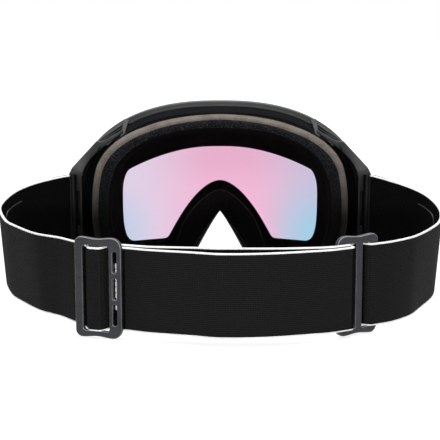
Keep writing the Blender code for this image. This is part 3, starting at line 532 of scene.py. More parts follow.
def round_the_frame():
    """Stations from the middle of the brow to the middle of the nose."""
    brow = [math.sin(i / BROW_STEPS * math.pi / 2) for i in range(BROW_STEPS + 1)]
    brow = [share for share in brow if all(abs(share - edge) > EDGE_CLEARANCE for edge in BROW_EDGES)]
    brow = sorted(brow + list(BROW_EDGES))
    cheek = [i / CHEEK_STEPS for i in range(1, CHEEK_STEPS + 1)]
    floor = [i / FLOOR_STEPS for i in range(1, FLOOR_STEPS + 1)]
    return [("brow", s) for s in brow] + [("cheek", s) for s in cheek] + [("floor", s) for s in floor]


ROUND = round_the_frame()


def place(station, level, depth):
    """The point of a station at a level between the outlines, at a depth that wraps round the face."""
    level = max(level, 0.0)
    inner = min(int(level), len(LINES) - 2)
    mix = level - inner
    x0, z0 = LINES[inner].point(*station)
    x1, z1 = LINES[inner + 1].point(*station)
    x = x0 + (x1 - x0) * mix
    return Vector((x, depth - sag(x), z0 + (z1 - z0) * mix))


LEVEL_SIZE = 9.0
ARC = (0.0, 0.33, 0.67, 1.0)


def eased(section):
    """A section of (level, depth, radius) corners, as points with rounded corners and each point's run."""
    points, runs = [], []
    count = len(section)
    for i, (level, depth, radius) in enumerate(section):
        if radius == 0.0:
            points.append((level, depth))
            runs.append(i)
            continue
        here = Vector((level * LEVEL_SIZE, depth))
        ends = []
        for other in (section[i - 1], section[(i + 1) % count]):
            way = Vector((other[0] * LEVEL_SIZE, other[1])) - here
            ends.append(here + way.normalized() * min(radius, 0.45 * way.length))
        for t in ARC:
            p = ends[0] * (1 - t) ** 2 + here * 2 * t * (1 - t) + ends[1] * t ** 2
            points.append((p.x / LEVEL_SIZE, p.y))
            runs.append(i)
    return points, runs


def skin(bm, rings, closed=False, finish_at=None):
    """Faces from ring to ring, with a cap at each end unless the last ring meets the first."""
    count = len(rings[0])
    for k, (ring, following) in enumerate(zip(rings, rings[1:] + (rings[:1] if closed else []))):
        for i in range(count):
            j = (i + 1) % count
            face = bm.faces.new((ring[i], ring[j], following[j], following[i]))
            if finish_at:
                face.material_index = finish_at(k, i)
    if not closed:
        bm.faces.new(rings[0])
        bm.faces.new(list(reversed(rings[-1])))
    return bm


def all_round():
    """Every station of the frame, down the right side and back up the left."""
    return [(station, 1) for station in ROUND] + [(station, -1) for station in ROUND[-2:0:-1]]


def ring_at(bm, station, side, points):
    spots = [place(station, level, depth) for level, depth in points]
    return [bm.verts.new((side * p.x, p.y, p.z)) for p in spots]


def ring_loft(section_at, finish_at=None):
    """A closed ring all round the frame, mirrored left and right, from the section at each station."""
    bm = bmesh.new()
    rings, finishes = [], []
    for station, side in all_round():
        points, runs = eased(section_at(station))
        rings.append(ring_at(bm, station, side, points))
        finishes.append([finish_at(station, run) if finish_at else 0 for run in runs])
    return skin(bm, rings, True, lambda k, i: finishes[k][i])


def part_loft(path, section_at, dark_runs=()):
    """A closed length of the frame with two ends, and some runs in the second finish."""
    bm = bmesh.new()
    rings = []
    for station, side in path:
        points, runs = eased(section_at(station))
        rings.append(ring_at(bm, station, side, points))
    return skin(bm, rings, False, lambda k, i: 1 if runs[i] in dark_runs else 0)


# -------- frame shell
def zone(station):
    stretch, share = station
    if stretch == "brow":
        if share <= STRUT_END:
            return "vent"
        return "latch" if share <= LATCH_END else "side"
    if stretch == "floor" and FLOOR_VENT[0] <= share <= FLOOR_VENT[1]:
        return "vent"
    return "side"


# Rear of the rim, and the wall behind it down to the flange, in each zone
WALLS = {
    "vent": (RIM_REAR, [(0.42, RIM_REAR, 0.1), (0.44, 41.3, 0.0), (0.58, 41.1, 0.0),
                        (0.66, RECESS_FRONT, 0.0), (2.75, RECESS_FRONT, 0.0), (1.75, FLANGE_FRONT, 0.0)]),
    "latch": (49.9, [(0.4, 49.9, 0.1), (0.42, 49.4, 0.0), (1.0, RECESS_FRONT, 0.0), (1.0, 43.0, 0.0),
                     (1.0, 37.0, 0.0), (1.0, 32.0, 0.0)]),
    "side": (RIM_REAR, [(0.46, 36.2, 0.5), (0.52, 37.0, 0.0), (0.56, 40.0, 0.0), (0.75, 40.0, 0.0),
                        (0.9, 40.0, 0.0), (0.96, 33.0, 0.0)])}
# Runs in painted shade: each zone's shade runs take the frame's shade finish, and the inside runs the
# inside shade
SHADE_RUNS = {"vent": range(6, 12), "latch": range(3, 12), "side": range(3, 12)}
INSIDE_RUNS = range(12, 16)


def frame_section(station):
    rim_rear, wall = WALLS[zone(station)]
    rim = [(0.4, LIP_FRONT, 0.3), (0.15, LIP_FRONT, 1.2), (0.0, LENS_SEAT, 2.0), (0.0, rim_rear, 0.8)]
    flange = [(1.0, FLANGE_FRONT, 0.4), (1.0, FLANGE_REAR, 0.4), (2.0, FLANGE_REAR, 1.0)]
    return rim + wall + flange + [(3.0, 47.5, 0.8), (3.0, LENS_SEAT, 0.0), (0.4, LENS_SEAT, 0.0)]


def frame_finish(station, run):
    if run in INSIDE_RUNS:
        return 1
    return 2 if run in SHADE_RUNS[zone(station)] else 0


def make_frame_shell():
    shell = finish_mesh("frame_shell_body", ring_loft(frame_section, frame_finish),
                        [FRAME_SATIN, FRAME_INSIDE_SHADE, FRAME_SHADE], 32)
    carry(shell, "frame", "frame_grey", "frame_shell")


# -------- vent foam
VENT_TUCK = STRUT_END + 3 * STEP
VENT_END = STRUT_END + 16 * STEP
LOWER_VENT = (0.12, 0.36, 12)


def vent_section(station):
    """Foam between the rim and the flange, tucked in where it runs on under a latch."""
    tucked = station[0] == "brow" and station[1] > VENT_TUCK
    front, nose = ((0.82, 0.6), (0.82, 33.2)) if tucked else ((0.69, 0.6), (0.615, 40.8))
    return [(front[0], 48.7, front[1]), (2.38, 48.7, 0.3), (1.62, 29.8, 0.3), (1.02, 29.8, 0.0),
            (0.97, 26.5, 0.3), (*nose, 0.3)]


def make_vent_foam():
    brow = [s for s in ROUND if s[0] == "brow" and s[1] < VENT_END - STEP] + [("brow", VENT_END)]
    first, length, steps = LOWER_VENT
    floor = [("floor", first + length * i / steps) for i in range(steps + 1)]
    across = [(s, -1) for s in brow[:0:-1]] + [(s, 1) for s in brow]
    pads = [("top_vent_foam_pad", across, "top_vent_foam")]
    pads += [(name + "_lower_vent_pad", [(s, side) for s in floor], name + "_lower_vent_foam")
             for name, side in SIDES]
    for name, path, node in pads:
        pad = finish_mesh(name, part_loft(path, vent_section), [VENT_FOAM])
        carry(pad, "frame", "vent_black", node)


# -------- face foam
NOSE_FOAM_START = 0.42
# Where along the floor the foam fills out, over what share, and the level that it fills to
NOSE_FILL_START, NOSE_FILL_RUN = 0.32, 0.3
NOSE_LEVEL, NOSE_LEVEL_STEP = 2.78, 0.05


def swell(station, amount):
    """A slow unevenness along the foam, as cut and glued foam has."""
    stretch, share = station
    along = {"brow": share, "cheek": 1.0 + share, "floor": 2.0 + share}[stretch]
    return amount * (math.sin(9.1 * along + 0.7) + 0.6 * math.sin(21.7 * along))


def inner_lip(station, inset):
    """The level a distance inside the foam's inner outline, fuller where the foam pads the nose."""
    x0, z0 = LINES[2].point(*station)
    x1, z1 = LINES[3].point(*station)
    level = 2.0 + inset / math.hypot(x1 - x0, z1 - z0)
    full = ease((station[1] - NOSE_FILL_START) / NOSE_FILL_RUN) if station[0] == "floor" else 0.0
    return level + (NOSE_LEVEL + NOSE_LEVEL_STEP * inset - level) * full


# Level of the tan band's outer edge along the brow: it dips below the foam's outline
# and meets it at the corners
TAN_EDGE = ((0.0, 1.07), (0.35, 1.16), (0.6, 1.16), (0.78, 1.04), (0.88, 0.96), (0.94, 0.98),
            (1.0, 1.14))


def tan_edges(station):
    """Levels of the two edges of the tan band."""
    aside = station[1] if station[0] == "brow" else 1.0
    outer = TAN_EDGE[-1][1]
    for (s0, level0), (s1, level1) in zip(TAN_EDGE, TAN_EDGE[1:]):
        if s0 <= aside < s1:
            outer = level0 + (level1 - level0) * (aside - s0) / (s1 - s0)
    return outer, outer + 0.3 + 0.07 * ease(aside)


def make_face_foam():
    def base(station):
        lip = inner_lip(station, 1.2)
        return [(1.0, 26.0, 0.7), (lip, 26.0, 0.7), (lip, 21.6, 0.8), (1.0, 21.6, 0.8)]

    def middle(station):
        bulge = swell(station, 0.008)
        top, crest = tan_edges(station)
        lip = inner_lip(station, 1.6)
        return [(1.06, 21.3, 0.3), (lip, 21.3, 0.3), (lip, 18.0, 0.0), (lip, 14.6, 0.4), (crest, 14.4, 0.3),
                (crest - 0.13, 14.7 - bulge, 0.0), (top + 0.12 - bulge, 15.5, 0.0),
                (top + 0.04 - bulge, 16.7, 0.0), (top - 0.01, 18.2, 0.0), (top - 0.05, 20.0, 0.0)]

    def fleece(station):
        lift = swell(station, 0.14)
        crest, lip = tan_edges(station)[1], inner_lip(station, 2.2)
        crown = ((0.03, 14.1, 0.2), (0.75, 14.1, 0.0), (0.97, 15.8, 0.2), (1.0, 14.6, 0.0),
                 (0.985, 13.3, 0.0), (0.93, 12.4 + lift, 0.0), (0.82, 11.8 + lift, 0.0),
                 (0.66, 11.55 + lift, 0.0), (0.45, 11.6 + lift, 0.0), (0.25, 11.9 + lift, 0.0),
                 (0.1, 12.5 + lift, 0.0), (0.0, 13.4, 0.0))
        return [(crest + (lip - crest) * share, depth, radius) for share, depth, radius in crown]

    def at_nose(station):
        return station[0] == "floor" and station[1] > NOSE_FOAM_START

    def middle_finish(station, run):
        return 1 if at_nose(station) or run in (0, 1, 2, 3, 8, 9) else 0

    def fleece_finish(station, run):
        return 1 if at_nose(station) or run in (1, 2, 3, 4, 5, 6) else 0

    for name, section, finish_at, finish, slot, node in (
            ("face_foam_base", base, None, FOAM_DARK, "foam_black", "foam_base"),
            ("face_foam_middle", middle, middle_finish, FOAM_TAN, "foam_brown", "foam_middle"),
            ("face_fleece", fleece, fleece_finish, FLEECE, "fleece_grey", "foam_fleece")):
        layer = finish_mesh(name, ring_loft(section, finish_at), [finish, FOAM_DARK], 60)
        carry(layer, "frame", slot, node)


# -------- lens module
LENS_HUB = 62.0
PANE_SHARES = (0.12, 0.25, 0.38, 0.5, 0.62, 0.73, 0.83, 0.92, 0.985, 1.0)
PANE_ROUND = 0.35


def lens_pane(name, level, rear, thickness, material, slot, node):
    """A curved sheet that fills the outline at a level, with a rounded edge."""
    bm = bmesh.new()
    spots = [(place(station, level, 0.0), side) for station, side in all_round()]
    rim = [(side * p.x, p.z) for p, side in spots]
    count = len(rim)
    sheets = []
    for front in (False, True):
        rings = []
        for share in PANE_SHARES:
            round_off = PANE_ROUND * thickness if share == 1.0 else 0.0
            depth = rear + (thickness - round_off if front else round_off)
            spread = [(x * share, LENS_HUB + (z - LENS_HUB) * share) for x, z in rim]
            rings.append([bm.verts.new((x, depth - sag(x), z)) for x, z in spread])
        centre = bm.verts.new((0.0, rear + (thickness if front else 0.0), LENS_HUB))
        for i in range(count):
            j = (i + 1) % count
            bm.faces.new((centre, rings[0][i], rings[0][j]))
            for ring, following in zip(rings, rings[1:]):
                bm.faces.new((ring[i], following[i], following[j], ring[j]))
        sheets.append(rings[-1])
    for i in range(count):
        j = (i + 1) % count
        bm.faces.new((sheets[0][i], sheets[0][j], sheets[1][j], sheets[1][i]))
    pane = finish_mesh(name, bm, [material], 50)
    normals = []
    for vert in pane.data.vertices:
        x = vert.co.x / MM
        front = (vert.co.y - DEPTH_SHIFT) / MM + sag(x) > rear + thickness / 2
        out = Vector((x / WRAP_RADIUS, math.sqrt(1.0 - (x / WRAP_RADIUS) ** 2), 0.0))
        normals.append(out if front else -out)
    pane.data.normals_split_custom_set_from_vertices(normals)
    return carry(pane, "lens", slot, node)


def make_lens_module():
    def carrier(station):
        return [(0.55, 53.4, 0.5), (0.55, 59.7, 0.5), (0.85, 59.7, 0.3), (0.87, 54.8, 0.2),
                (1.6, 54.8, 0.3), (1.6, 53.4, 0.3)]

    # The carrier ring shares the clip's finish, painted shade low down included
    ring = finish_mesh("lens_carrier_ring", ring_loft(carrier), [CLIP_SATIN], 40)
    carry(ring, "lens", "frame_grey", "lens_carrier")
    lens_pane("inner_lens_pane", 1.15, 55.1, 1.2, LENS_CLEAR, "lens_clear", "inner_lens")
    lens_pane("outer_lens_pane", 0.3, 60.3, 1.5, LENS_TINT, "lens_tint", "outer_lens")


# -------- latches
LEAF_SLOTS = (3, 4, 5, 7, 8, 9, 11, 12)


def make_latches():
    """Leaf shaped tabs that dip towards the wearer, each with a finger slot and a rib, on its stem."""
    first, last = STRUT_END + 4 * STEP, LATCH_END - 2 * STEP
    stations = [("brow", first + (last - first) * i / 26) for i in range(27)]

    def tab(station):
        t = (station[1] - first) / (last - first)
        thin = 1.0 - 0.72 * ease((t - 0.45) / 0.55)
        foot = 0.72 + 0.28 * max(0.0, 1.0 - (abs(2.0 * t - 1.0) / 0.8) ** 6)
        face = [(0.0, 49.3, 0.4), (0.12, 47.0, 0.0), (0.25, 44.9, 0.0), (0.34, 43.4, 0.2),
                (0.345, 47.0, 0.0), (0.45, 47.0, 0.0), (0.455, 42.4, 0.1), (0.54, 41.9, 0.1),
                (0.545, 47.0, 0.0), (0.64, 47.0, 0.0), (0.645, 41.0, 0.1), (0.74, 40.5, 0.15),
                (0.75, 46.2, 0.0)]
        return ([(level * thin, depth, radius) for level, depth, radius in face]
                + [(foot, 46.2, 0.1), (foot, 47.6, 0.1), (0.77 * thin + 0.02, 47.6, 0.0),
                   (0.3 * thin, 49.3, 0.2)])

    for name, side in SIDES:
        leaf = part_loft([(station, side) for station in stations], tab, LEAF_SLOTS)
        latch = finish_mesh(name + "_latch_leaf", leaf, [LEAF_SATIN, FRAME_SHADE], 32)
        carry(latch, name + "_latch", "frame_grey", name + "_lens_latch")


# -------- outriggers and strap clips
def plan_block(points, bottom, top_of):
    """An upright block from its plan, with a top that may slope across."""
    bm = bmesh.new()
    low = [bm.verts.new((x, y, bottom)) for x, y in points]
    high = [bm.verts.new((x, y, top_of(x))) for x, y in points]
    return skin(bm, [low, high])


def carve(piece, *cutters):
    for cutter in cutters:
        hole = piece.modifiers.new("carve", "BOOLEAN")
        hole.operation = "DIFFERENCE"
        hole.solver = "EXACT"
        hole.object = cutter
    settle(piece)
    for cutter in cutters:
        bpy.data.objects.remove(cutter, do_unlink=True)


def round_edges(piece, width_mm, segments=3, angle=35.0):
    edge = piece.modifiers.new("rounding", "BEVEL")
    edge.width = width_mm * MM
    edge.segments = segments
    edge.limit_method = "ANGLE"
    edge.angle_limit = math.radians(angle)
    edge.harden_normals = False
    settle(piece)
    for polygon in piece.data.polygons:
        polygon.use_smooth = True
    piece.data.set_sharp_from_angle(angle=math.radians(50))


def quad_loft(rows, side):
    """A bar through rows of four corners."""
    bm = bmesh.new()
    return skin(bm, [[bm.verts.new((side * x, y, z)) for x, y, z in corners] for corners in rows])


# Side arm from the strut down to the lug: upper x, z, lower x, z, rear depth and thickness
ARM_ROWS = ((58.6, 88.0, 58.4, 85.8, 14.6, 3.0), (64.1, 84.5, 64.0, 82.1, 13.5, 3.0),
            (69.3, 81.8, 68.3, 79.0, 12.8, 3.5), (72.4, 80.9, 70.9, 77.2, 12.2, 4.0),
            (74.6, 81.2, 73.0, 75.7, 11.3, 5.0), (80.7, 74.8, 77.5, 71.5, 3.2, 6.0),
            (84.6, 70.7, 79.8, 68.2, -2.2, 7.0), (87.7, 67.4, 81.2, 65.0, -6.0, 8.0),
            (88.9, 64.8, 81.4, 62.6, -6.2, 8.0))
# Strut between the rim and the flange: left x, right x, z, rear depth
STRUT_ROWS = ((55.4, 59.2, 92.6, 26.8), (56.3, 59.1, 90.6, 22.5), (57.1, 59.5, 87.0, 16.5),
              (57.8, 60.2, 83.6, 11.8))
STRUT_DEPTH, STRUT_TILT = 3.0, 0.4
# Lug in plan and height, the notch that the clip turns in and the hole behind the pin
LUG_INNER, LUG_OUTER, LUG_REAR, LUG_FRONT = 81.7, 89.2, -6.23, 2.07
LUG_PLAN = ((LUG_INNER, LUG_REAR), (LUG_OUTER, LUG_REAR), (LUG_OUTER, 10.77), (87.3, 11.37),
            (87.3, LUG_FRONT), (LUG_INNER, LUG_FRONT))
LUG_FOOT, LUG_TOP, LUG_FALL = 18.6, 65.6, 0.1
NOTCH = ((85.1, 103.5), (20.6, 63.4), PIN_DEPTH + 2.3)
HOLE = ((83.3, PIN_X), (32.8, 53.8), PIN_DEPTH + 1.15)
CUT_PAST = 14


def cutter(side, across, heights, front):
    low, high = sorted(side * x for x in across)
    rear = LUG_REAR - CUT_PAST
    plan = [(low, rear), (high, rear), (high, front), (low, front)]
    return finish_mesh("cutter", plan_block(plan, heights[0], lambda x: heights[1]), [])


def make_outriggers():
    bar = [((xu, y, zu), (xl, y, zl), (xl, y + deep, zl), (xu, y + deep, zu))
           for xu, zu, xl, zl, y, deep in ARM_ROWS]
    post = [((x0, y, z), (x1, y, z), (x1, y + STRUT_DEPTH, z + STRUT_TILT),
             (x0, y + STRUT_DEPTH, z + STRUT_TILT)) for x0, x1, z, y in STRUT_ROWS]
    for name, side in SIDES:
        solid = plan_block([(side * x, y) for x, y in LUG_PLAN], LUG_FOOT,
                           lambda x: LUG_TOP - LUG_FALL * (abs(x) - LUG_INNER))
        lug = finish_mesh(name + "_outrigger_block", solid, [LUG_SATIN])
        carve(lug, cutter(side, *NOTCH), cutter(side, *HOLE))
        round_edges(lug, 0.5)
        carry(lug, "frame", "frame_grey", name + "_outrigger")
        for label, rows, rounding in (("_side_arm", bar, 0.6), ("_strut", post, 0.35)):
            piece = finish_mesh(name + label, quad_loft(rows, side), [ARM_SATIN])
            round_edges(piece, rounding)
            carry(piece, "frame", "frame_grey")


# Strap clip: its barrel round the pin, and the thumb ribs on its plate
CLIP_LOW, CLIP_HIGH = 21.3, 63.1
BARREL_RADIUS, BARREL_FROM, BARREL_SWEEP, BARREL_STEPS = 1.98, -62, 304, 25
RIB_COUNT, RIB_FIRST, RIB_PITCH = 4, 2.2, 2.6
RIB_TOP, RIB_FLOOR = 2.15, 1.75
CLIP_TUCKS = ((0.0, 0.9), (0.4, 0.98), (0.9, 1.0))


def clip_ways(side):
    along = Vector((side * math.sin(CLIP_ANGLE), -math.cos(CLIP_ANGLE), 0.0))
    out = Vector((side * math.cos(CLIP_ANGLE), math.sin(CLIP_ANGLE), 0.0))
    return along, out


def clip_outline(pin, along, out):
    plate = [(CLIP_PLATE - 0.6, 1.1), (CLIP_PLATE, 1.5), (CLIP_PLATE - 0.5, RIB_TOP)]
    for k in range(RIB_COUNT):
        rib = CLIP_PLATE - RIB_FIRST - RIB_PITCH * k
        plate += [(rib + 0.7, RIB_TOP), (rib + 0.35, RIB_FLOOR), (rib - 0.35, RIB_FLOOR),
                  (rib - 0.7, RIB_TOP)]
    plate += [(1.2, 2.1)]
    outline = [pin + along * a + out * o for a, o in plate]
    for i in range(BARREL_STEPS + 1):
        turn = math.radians(BARREL_FROM + BARREL_SWEEP * i / BARREL_STEPS)
        outline.append(pin + (out * math.cos(turn) - along * math.sin(turn)) * BARREL_RADIUS)
    return outline


def make_clips():
    """A barrel on the pin with a plate along the outside of the strap, ribbed for the thumb.

    Its plan is drawn up in steps, narrower at both ends and falling with the strap.
    """
    steps = [(CLIP_LOW + rise, tuck) for rise, tuck in CLIP_TUCKS]
    steps += [(CLIP_HIGH - rise, tuck) for rise, tuck in reversed(CLIP_TUCKS)]
    for name, side in SIDES:
        pin = Vector((side * PIN_X, PIN_DEPTH, 0.0))
        along, out = clip_ways(side)
        outline = clip_outline(pin, along, out)
        length, power = RISE_SHAPE[name]
        reaches = [max((p - pin).dot(along) - CLIP_REACH, 0.0) for p in outline]
        falls = [STRAP_RISE * (reach / length) ** power for reach in reaches]
        centre = sum(outline, Vector()) / len(outline)
        bm = bmesh.new()
        rings = []
        for height, tuck in steps:
            spots = [centre + (p - centre) * tuck for p in outline]
            rings.append([bm.verts.new((p.x, p.y, height - fall)) for p, fall in zip(spots, falls)])
        clip = finish_mesh(name + "_clip_hook", skin(bm, rings), [CLIP_SATIN], 40)
        carry(clip, name + "_clip", "frame_grey", name + "_strap_clip")


# -------- strap loop
OUTER_BENDS = {-1: [(0.896, 0.09), (0.955, 0.147), (0.988, 0.225), (1.0, 0.301), (0.96, 0.395),
                    (0.898, 0.485), (0.784, 0.629), (0.695, 0.698)],
               1: [(0.896, 0.09), (0.955, 0.147), (0.989, 0.23), (1.0, 0.317), (0.973, 0.419),
                   (0.91, 0.541), (0.807, 0.705)]}
INNER_BENDS = {-1: [(0.302, 0.932), (0.122, 0.972)], 1: [(0.359, 0.959), (0.18, 0.993)]}
SLIDER_PLACES = {-1: (0.497, 0.873), 1: (0.593, 0.874)}
SLIDER_TURNS = {-1: 18.0, 1: 30.0}


def loop_point(side, x, y):
    return Vector((side * x * LOOP_HALF_WIDTH, PIN_DEPTH - y * LOOP_DEPTH, 0.0))


def run_ends(side):
    """The two ends of the straight run that holds a slider, and its direction towards the right."""
    middle = loop_point(side, *SLIDER_PLACES[side])
    turn = math.radians(SLIDER_TURNS[side])
    along = Vector((math.cos(turn), side * math.sin(turn), 0.0))
    reach = along * (SLIDER_WIDTH / 2 + 1.6)
    return middle - reach, middle + reach, along


def loop_knots():
    knots = []
    for side in (-1, 1):
        along, _ = clip_ways(side)
        pin = Vector((side * PIN_X, PIN_DEPTH, 0.0))
        first, second, run = run_ends(side)
        ends = [(pin + along * reach, -side * along) for reach in (CLIP_REACH, CLIP_PLATE + 0.3)]
        outer = [(loop_point(side, *bend), None) for bend in OUTER_BENDS[side]]
        inner = [(loop_point(side, *bend), None) for bend in INNER_BENDS[side]]
        held = [(first, run), (second, run)]
        if side < 0:
            knots += ends + outer + held + inner + [(loop_point(side, 0.0, 1.0), None)]
        else:
            knots += inner[::-1] + held + outer[::-1] + ends[::-1]
    return knots


def smooth_curve(knots, steps=30):
    points = [point for point, _ in knots]
    ways = [way or (points[i + 1] - points[i - 1]).normalized() for i, (_, way) in enumerate(knots)]
    curve = []
    for p, q, leave, reach in zip(points, points[1:], ways, ways[1:]):
        span = (q - p).length
        for i in range(steps):
            t = i / steps
            curve.append(p * (2 * t ** 3 - 3 * t ** 2 + 1) + leave * span * (t ** 3 - 2 * t ** 2 + t)
                         + q * (3 * t ** 2 - 2 * t ** 3) + reach * span * (t ** 3 - t ** 2))
    return curve + [points[-1]]


class Loop:
    """The strap's middle line, measured along its length."""

    def __init__(self):
        self.points = smooth_curve(loop_knots())
        self.lengths = [0.0]
        for a, b in zip(self.points, self.points[1:]):
            self.lengths.append(self.lengths[-1] + (b - a).length)
        self.length = self.lengths[-1]

    def at(self, s):
        i = 0
        while i < len(self.lengths) - 2 and self.lengths[i + 1] < s:
            i += 1
        a, b = self.points[i], self.points[i + 1]
        direction = (b - a).normalized()
        return a + direction * (s - self.lengths[i]), direction, Vector((direction.y, -direction.x, 0.0))

    def slider_middle(self, side):
        first, second, _ = run_ends(side)
        near = min(range(len(self.points)), key=lambda i: (self.points[i] - first).length)
        return self.lengths[near] + (second - first).length / 2


LOOP = Loop()


def slider_marks(side):
    """Where a slider's bars lie along the loop, from its wide bar to its slotted edge."""
    way = -side
    start = LOOP.slider_middle(side) - way * SLIDER_WIDTH / 2
    edges = (0.0, WIDE_BAR, WIDE_BAR + STRAP_WINDOW, WIDE_BAR + STRAP_WINDOW + CENTRE_BAR,
             WIDE_BAR + 2 * STRAP_WINDOW + CENTRE_BAR, SLIDER_WIDTH)
    return [start + way * edge for edge in edges]


LEFT_MARKS, RIGHT_MARKS = slider_marks(-1), slider_marks(1)
TURNED = INNER_SLIDER_SHIFT
BETWEEN = (LEFT_MARKS[5] + RIGHT_MARKS[5]) / 2
# Each strap's way past the slider bars, as (length along the loop, how far out from it)
ROUTES = {
    "left": [(0.0, 0.0), (LEFT_MARKS[0] - LAY_IN - 2.0, 0.0),
             (LEFT_MARKS[0] - 4.0, -OVER_BAR - LOOSE_BEHIND - 0.9), (LEFT_MARKS[1], -OVER_BAR),
             (LEFT_MARKS[2], OVER_BAR), (LEFT_MARKS[3], OVER_BAR), (LEFT_MARKS[4], -UNDER_LAYER),
             (LEFT_MARKS[5], -UNDER_LAYER), (BETWEEN, -UNDER_LAYER - INNER_BOW),
             (RIGHT_MARKS[5], -UNDER_LAYER), (LOOP.length, -UNDER_LAYER)],
    "right": [(0.0, -OVER_BAR), (RIGHT_MARKS[4], -OVER_BAR), (RIGHT_MARKS[3] - 4.2, -OVER_BAR - 0.5),
              (RIGHT_MARKS[3] - 2.4, TURNED - OVER_BAR),
              (RIGHT_MARKS[2], TURNED - OVER_BAR), (RIGHT_MARKS[1], TURNED + OVER_BAR),
              (RIGHT_MARKS[0] + 1.0, TURNED + OVER_BAR), (RIGHT_MARKS[0] + LAY_IN, 0.0),
              (LOOP.length, 0.0)]}


def route_offset(keys, s):
    for (s0, n0), (s1, n1) in zip(keys, keys[1:]):
        if s0 <= s <= s1:
            return n0 + (n1 - n0) * ease((s - s0) / (s1 - s0))
    return keys[-1][1] if s > keys[-1][0] else keys[0][1]


def strap_foot(name, s):
    """How far the strap's lower edge stands above the table: it climbs to the outriggers."""
    length, power = RISE_SHAPE["left" if s < LOOP.length / 2 else "right"]
    climb = 1.0 - (max(min(s, LOOP.length - s), 0.0) / length) ** power
    lift = ease((s - LEFT_MARKS[3]) / LIFT_RUN) if name == "left" else 0.0
    return STRAP_BOTTOM + STRAP_RISE * (climb + math.hypot(climb, RISE_EASE)) / 2 + INNER_LIFT * lift


def strap_centre(name, s):
    point, _, normal = LOOP.at(min(max(s, -TURN_IN), LOOP.length + TURN_IN))
    middle = point + normal * route_offset(ROUTES[name], s)
    return Vector((middle.x, middle.y, strap_foot(name, s)))


def strap_frame(name, s):
    """The strap's middle at a length, with its own outward normal."""
    here = strap_centre(name, s)
    way = strap_centre(name, s + 0.25) - strap_centre(name, s - 0.25)
    way.z = 0.0
    way.normalize()
    return here, way, Vector((way.y, -way.x, 0.0))


def strap_point(name, s, outward, height):
    """A point on the strap: it leans out at the top where it swings round the sides."""
    middle, _, out = strap_frame(name, s)
    near, slider = s, LEFT_MARKS[0]
    if s >= LOOP.length / 2:
        near, slider = LOOP.length - s, LOOP.length - RIGHT_MARKS[0]
    lean = ease((near - LEAN_IN[0]) / LEAN_IN[1]) * ease((slider - LEAN_OUT[0] - near) / LEAN_OUT[1])
    share = height / STRAP_WIDTH
    drop = EDGE_DROP * ease((near - DROP_IN[0]) / DROP_IN[1]) * (1.0 - share)
    aside = outward + SIDE_LEAN * lean * (share - LEAN_PIVOT)
    return middle + out * aside + Vector((0.0, 0.0, height - drop))


# Half a strap's cut: height from its lower edge and how far its face stands from the middle
EDGE_CUT = ((0.0, 0.12), (0.1, 0.48), (0.3, 0.76), (0.54, 0.8), (0.74, 0.72), (0.83, 0.66))
FACE_CUT = ((1.25, 0.72), (4.0, 0.76), (12.0, 0.78), (21.0, 0.79))


def strap_cut():
    """Points round a strap's cut as (outward, height), and each run's finish: outside, edging, or inside in
    painted shade.
    """
    half = list(EDGE_CUT) + list(FACE_CUT)
    up = [(out, height) for height, out in half]
    up += [(out, STRAP_WIDTH - height) for height, out in half[-2::-1]]
    points = up + [(-out, height) for out, height in reversed(up)]
    edge = EDGE_CUT[-1][0] + 0.01
    finishes = []
    for i in range(len(points)):
        out, height = (Vector(points[i]) + Vector(points[(i + 1) % len(points)])) / 2
        if edge < height < STRAP_WIDTH - edge:
            finishes.append(0 if out > 0.0 else 2)
        else:
            finishes.append(1)
    return points, finishes


STRAP_CUT, CUT_FINISHES = strap_cut()
# Where a strap dives behind a slider's bar, painted in shade with the dark inside finish
DIVES = {"left": [(LEFT_MARKS[1] - 0.4, LEFT_MARKS[1] + 1.2)],
         "right": [(LEFT_MARKS[4], LEFT_MARKS[5] + 0.9), (RIGHT_MARKS[3] - 5.0, RIGHT_MARKS[2] + 2.7)]}


NEAR_SLIDER = 5.0
FINE_STEP, BROAD_STEP, LAST_STEP = 0.6, 2.0, 0.4


def strap_lengths(start, end):
    stations = [start]
    while stations[-1] < end - LAST_STEP:
        s = stations[-1]
        near = any(min(marks) - NEAR_SLIDER < s < max(marks) + NEAR_SLIDER
                   for marks in (LEFT_MARKS, RIGHT_MARKS))
        stations.append(min(s + (FINE_STEP if near else BROAD_STEP), end))
    stations[-1] = end
    return stations


def strap_length(label, name, start, end):
    """A length of strap between two places on its line, with the map that its knit follows."""
    bm = bmesh.new()
    strap_map = bm.loops.layers.uv.new("strap map")
    rings, lengths = [], strap_lengths(start, end)
    for s in lengths:
        rings.append([bm.verts.new(strap_point(name, s, out, height)) for out, height in STRAP_CUT])
    count = len(STRAP_CUT)
    for (ring, s0), (following, s1) in zip(zip(rings, lengths), zip(rings[1:], lengths[1:])):
        # Where the strap dives behind a bar, its outside takes the painted shade
        shaded = any(low < (s0 + s1) / 2 < high for low, high in DIVES[name])
        for i in range(count):
            j = (i + 1) % count
            face = bm.faces.new((ring[i], following[i], following[j], ring[j]))
            face.material_index = 2 if shaded and CUT_FINISHES[i] == 0 else CUT_FINISHES[i]
            for loop, s, k in zip(face.loops, (s0, s1, s1, s0), (i, i, j, j)):
                loop[strap_map].uv = (s * MM, STRAP_CUT[k][1] * MM)
    bm.faces.new(rings[0])
    bm.faces.new(list(reversed(rings[-1])))
    piece = finish_mesh(label, bm, [WEBBING, EDGING, WEBBING_PAINTED_SHADE], 60)
    return piece


def bend_between(piece, name, start, end, first, second):
    """Bakes a length of strap's placement into its mesh."""
    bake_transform(piece)


LENGTH_LABELS = ("hem", "front", "side", "lead", "weave", "tail", "back", "reach", "end")
SLIDER_ROOM = 2.0
END_SHORT = 0.3
CLIP_END = CLIP_PLATE - 2.0


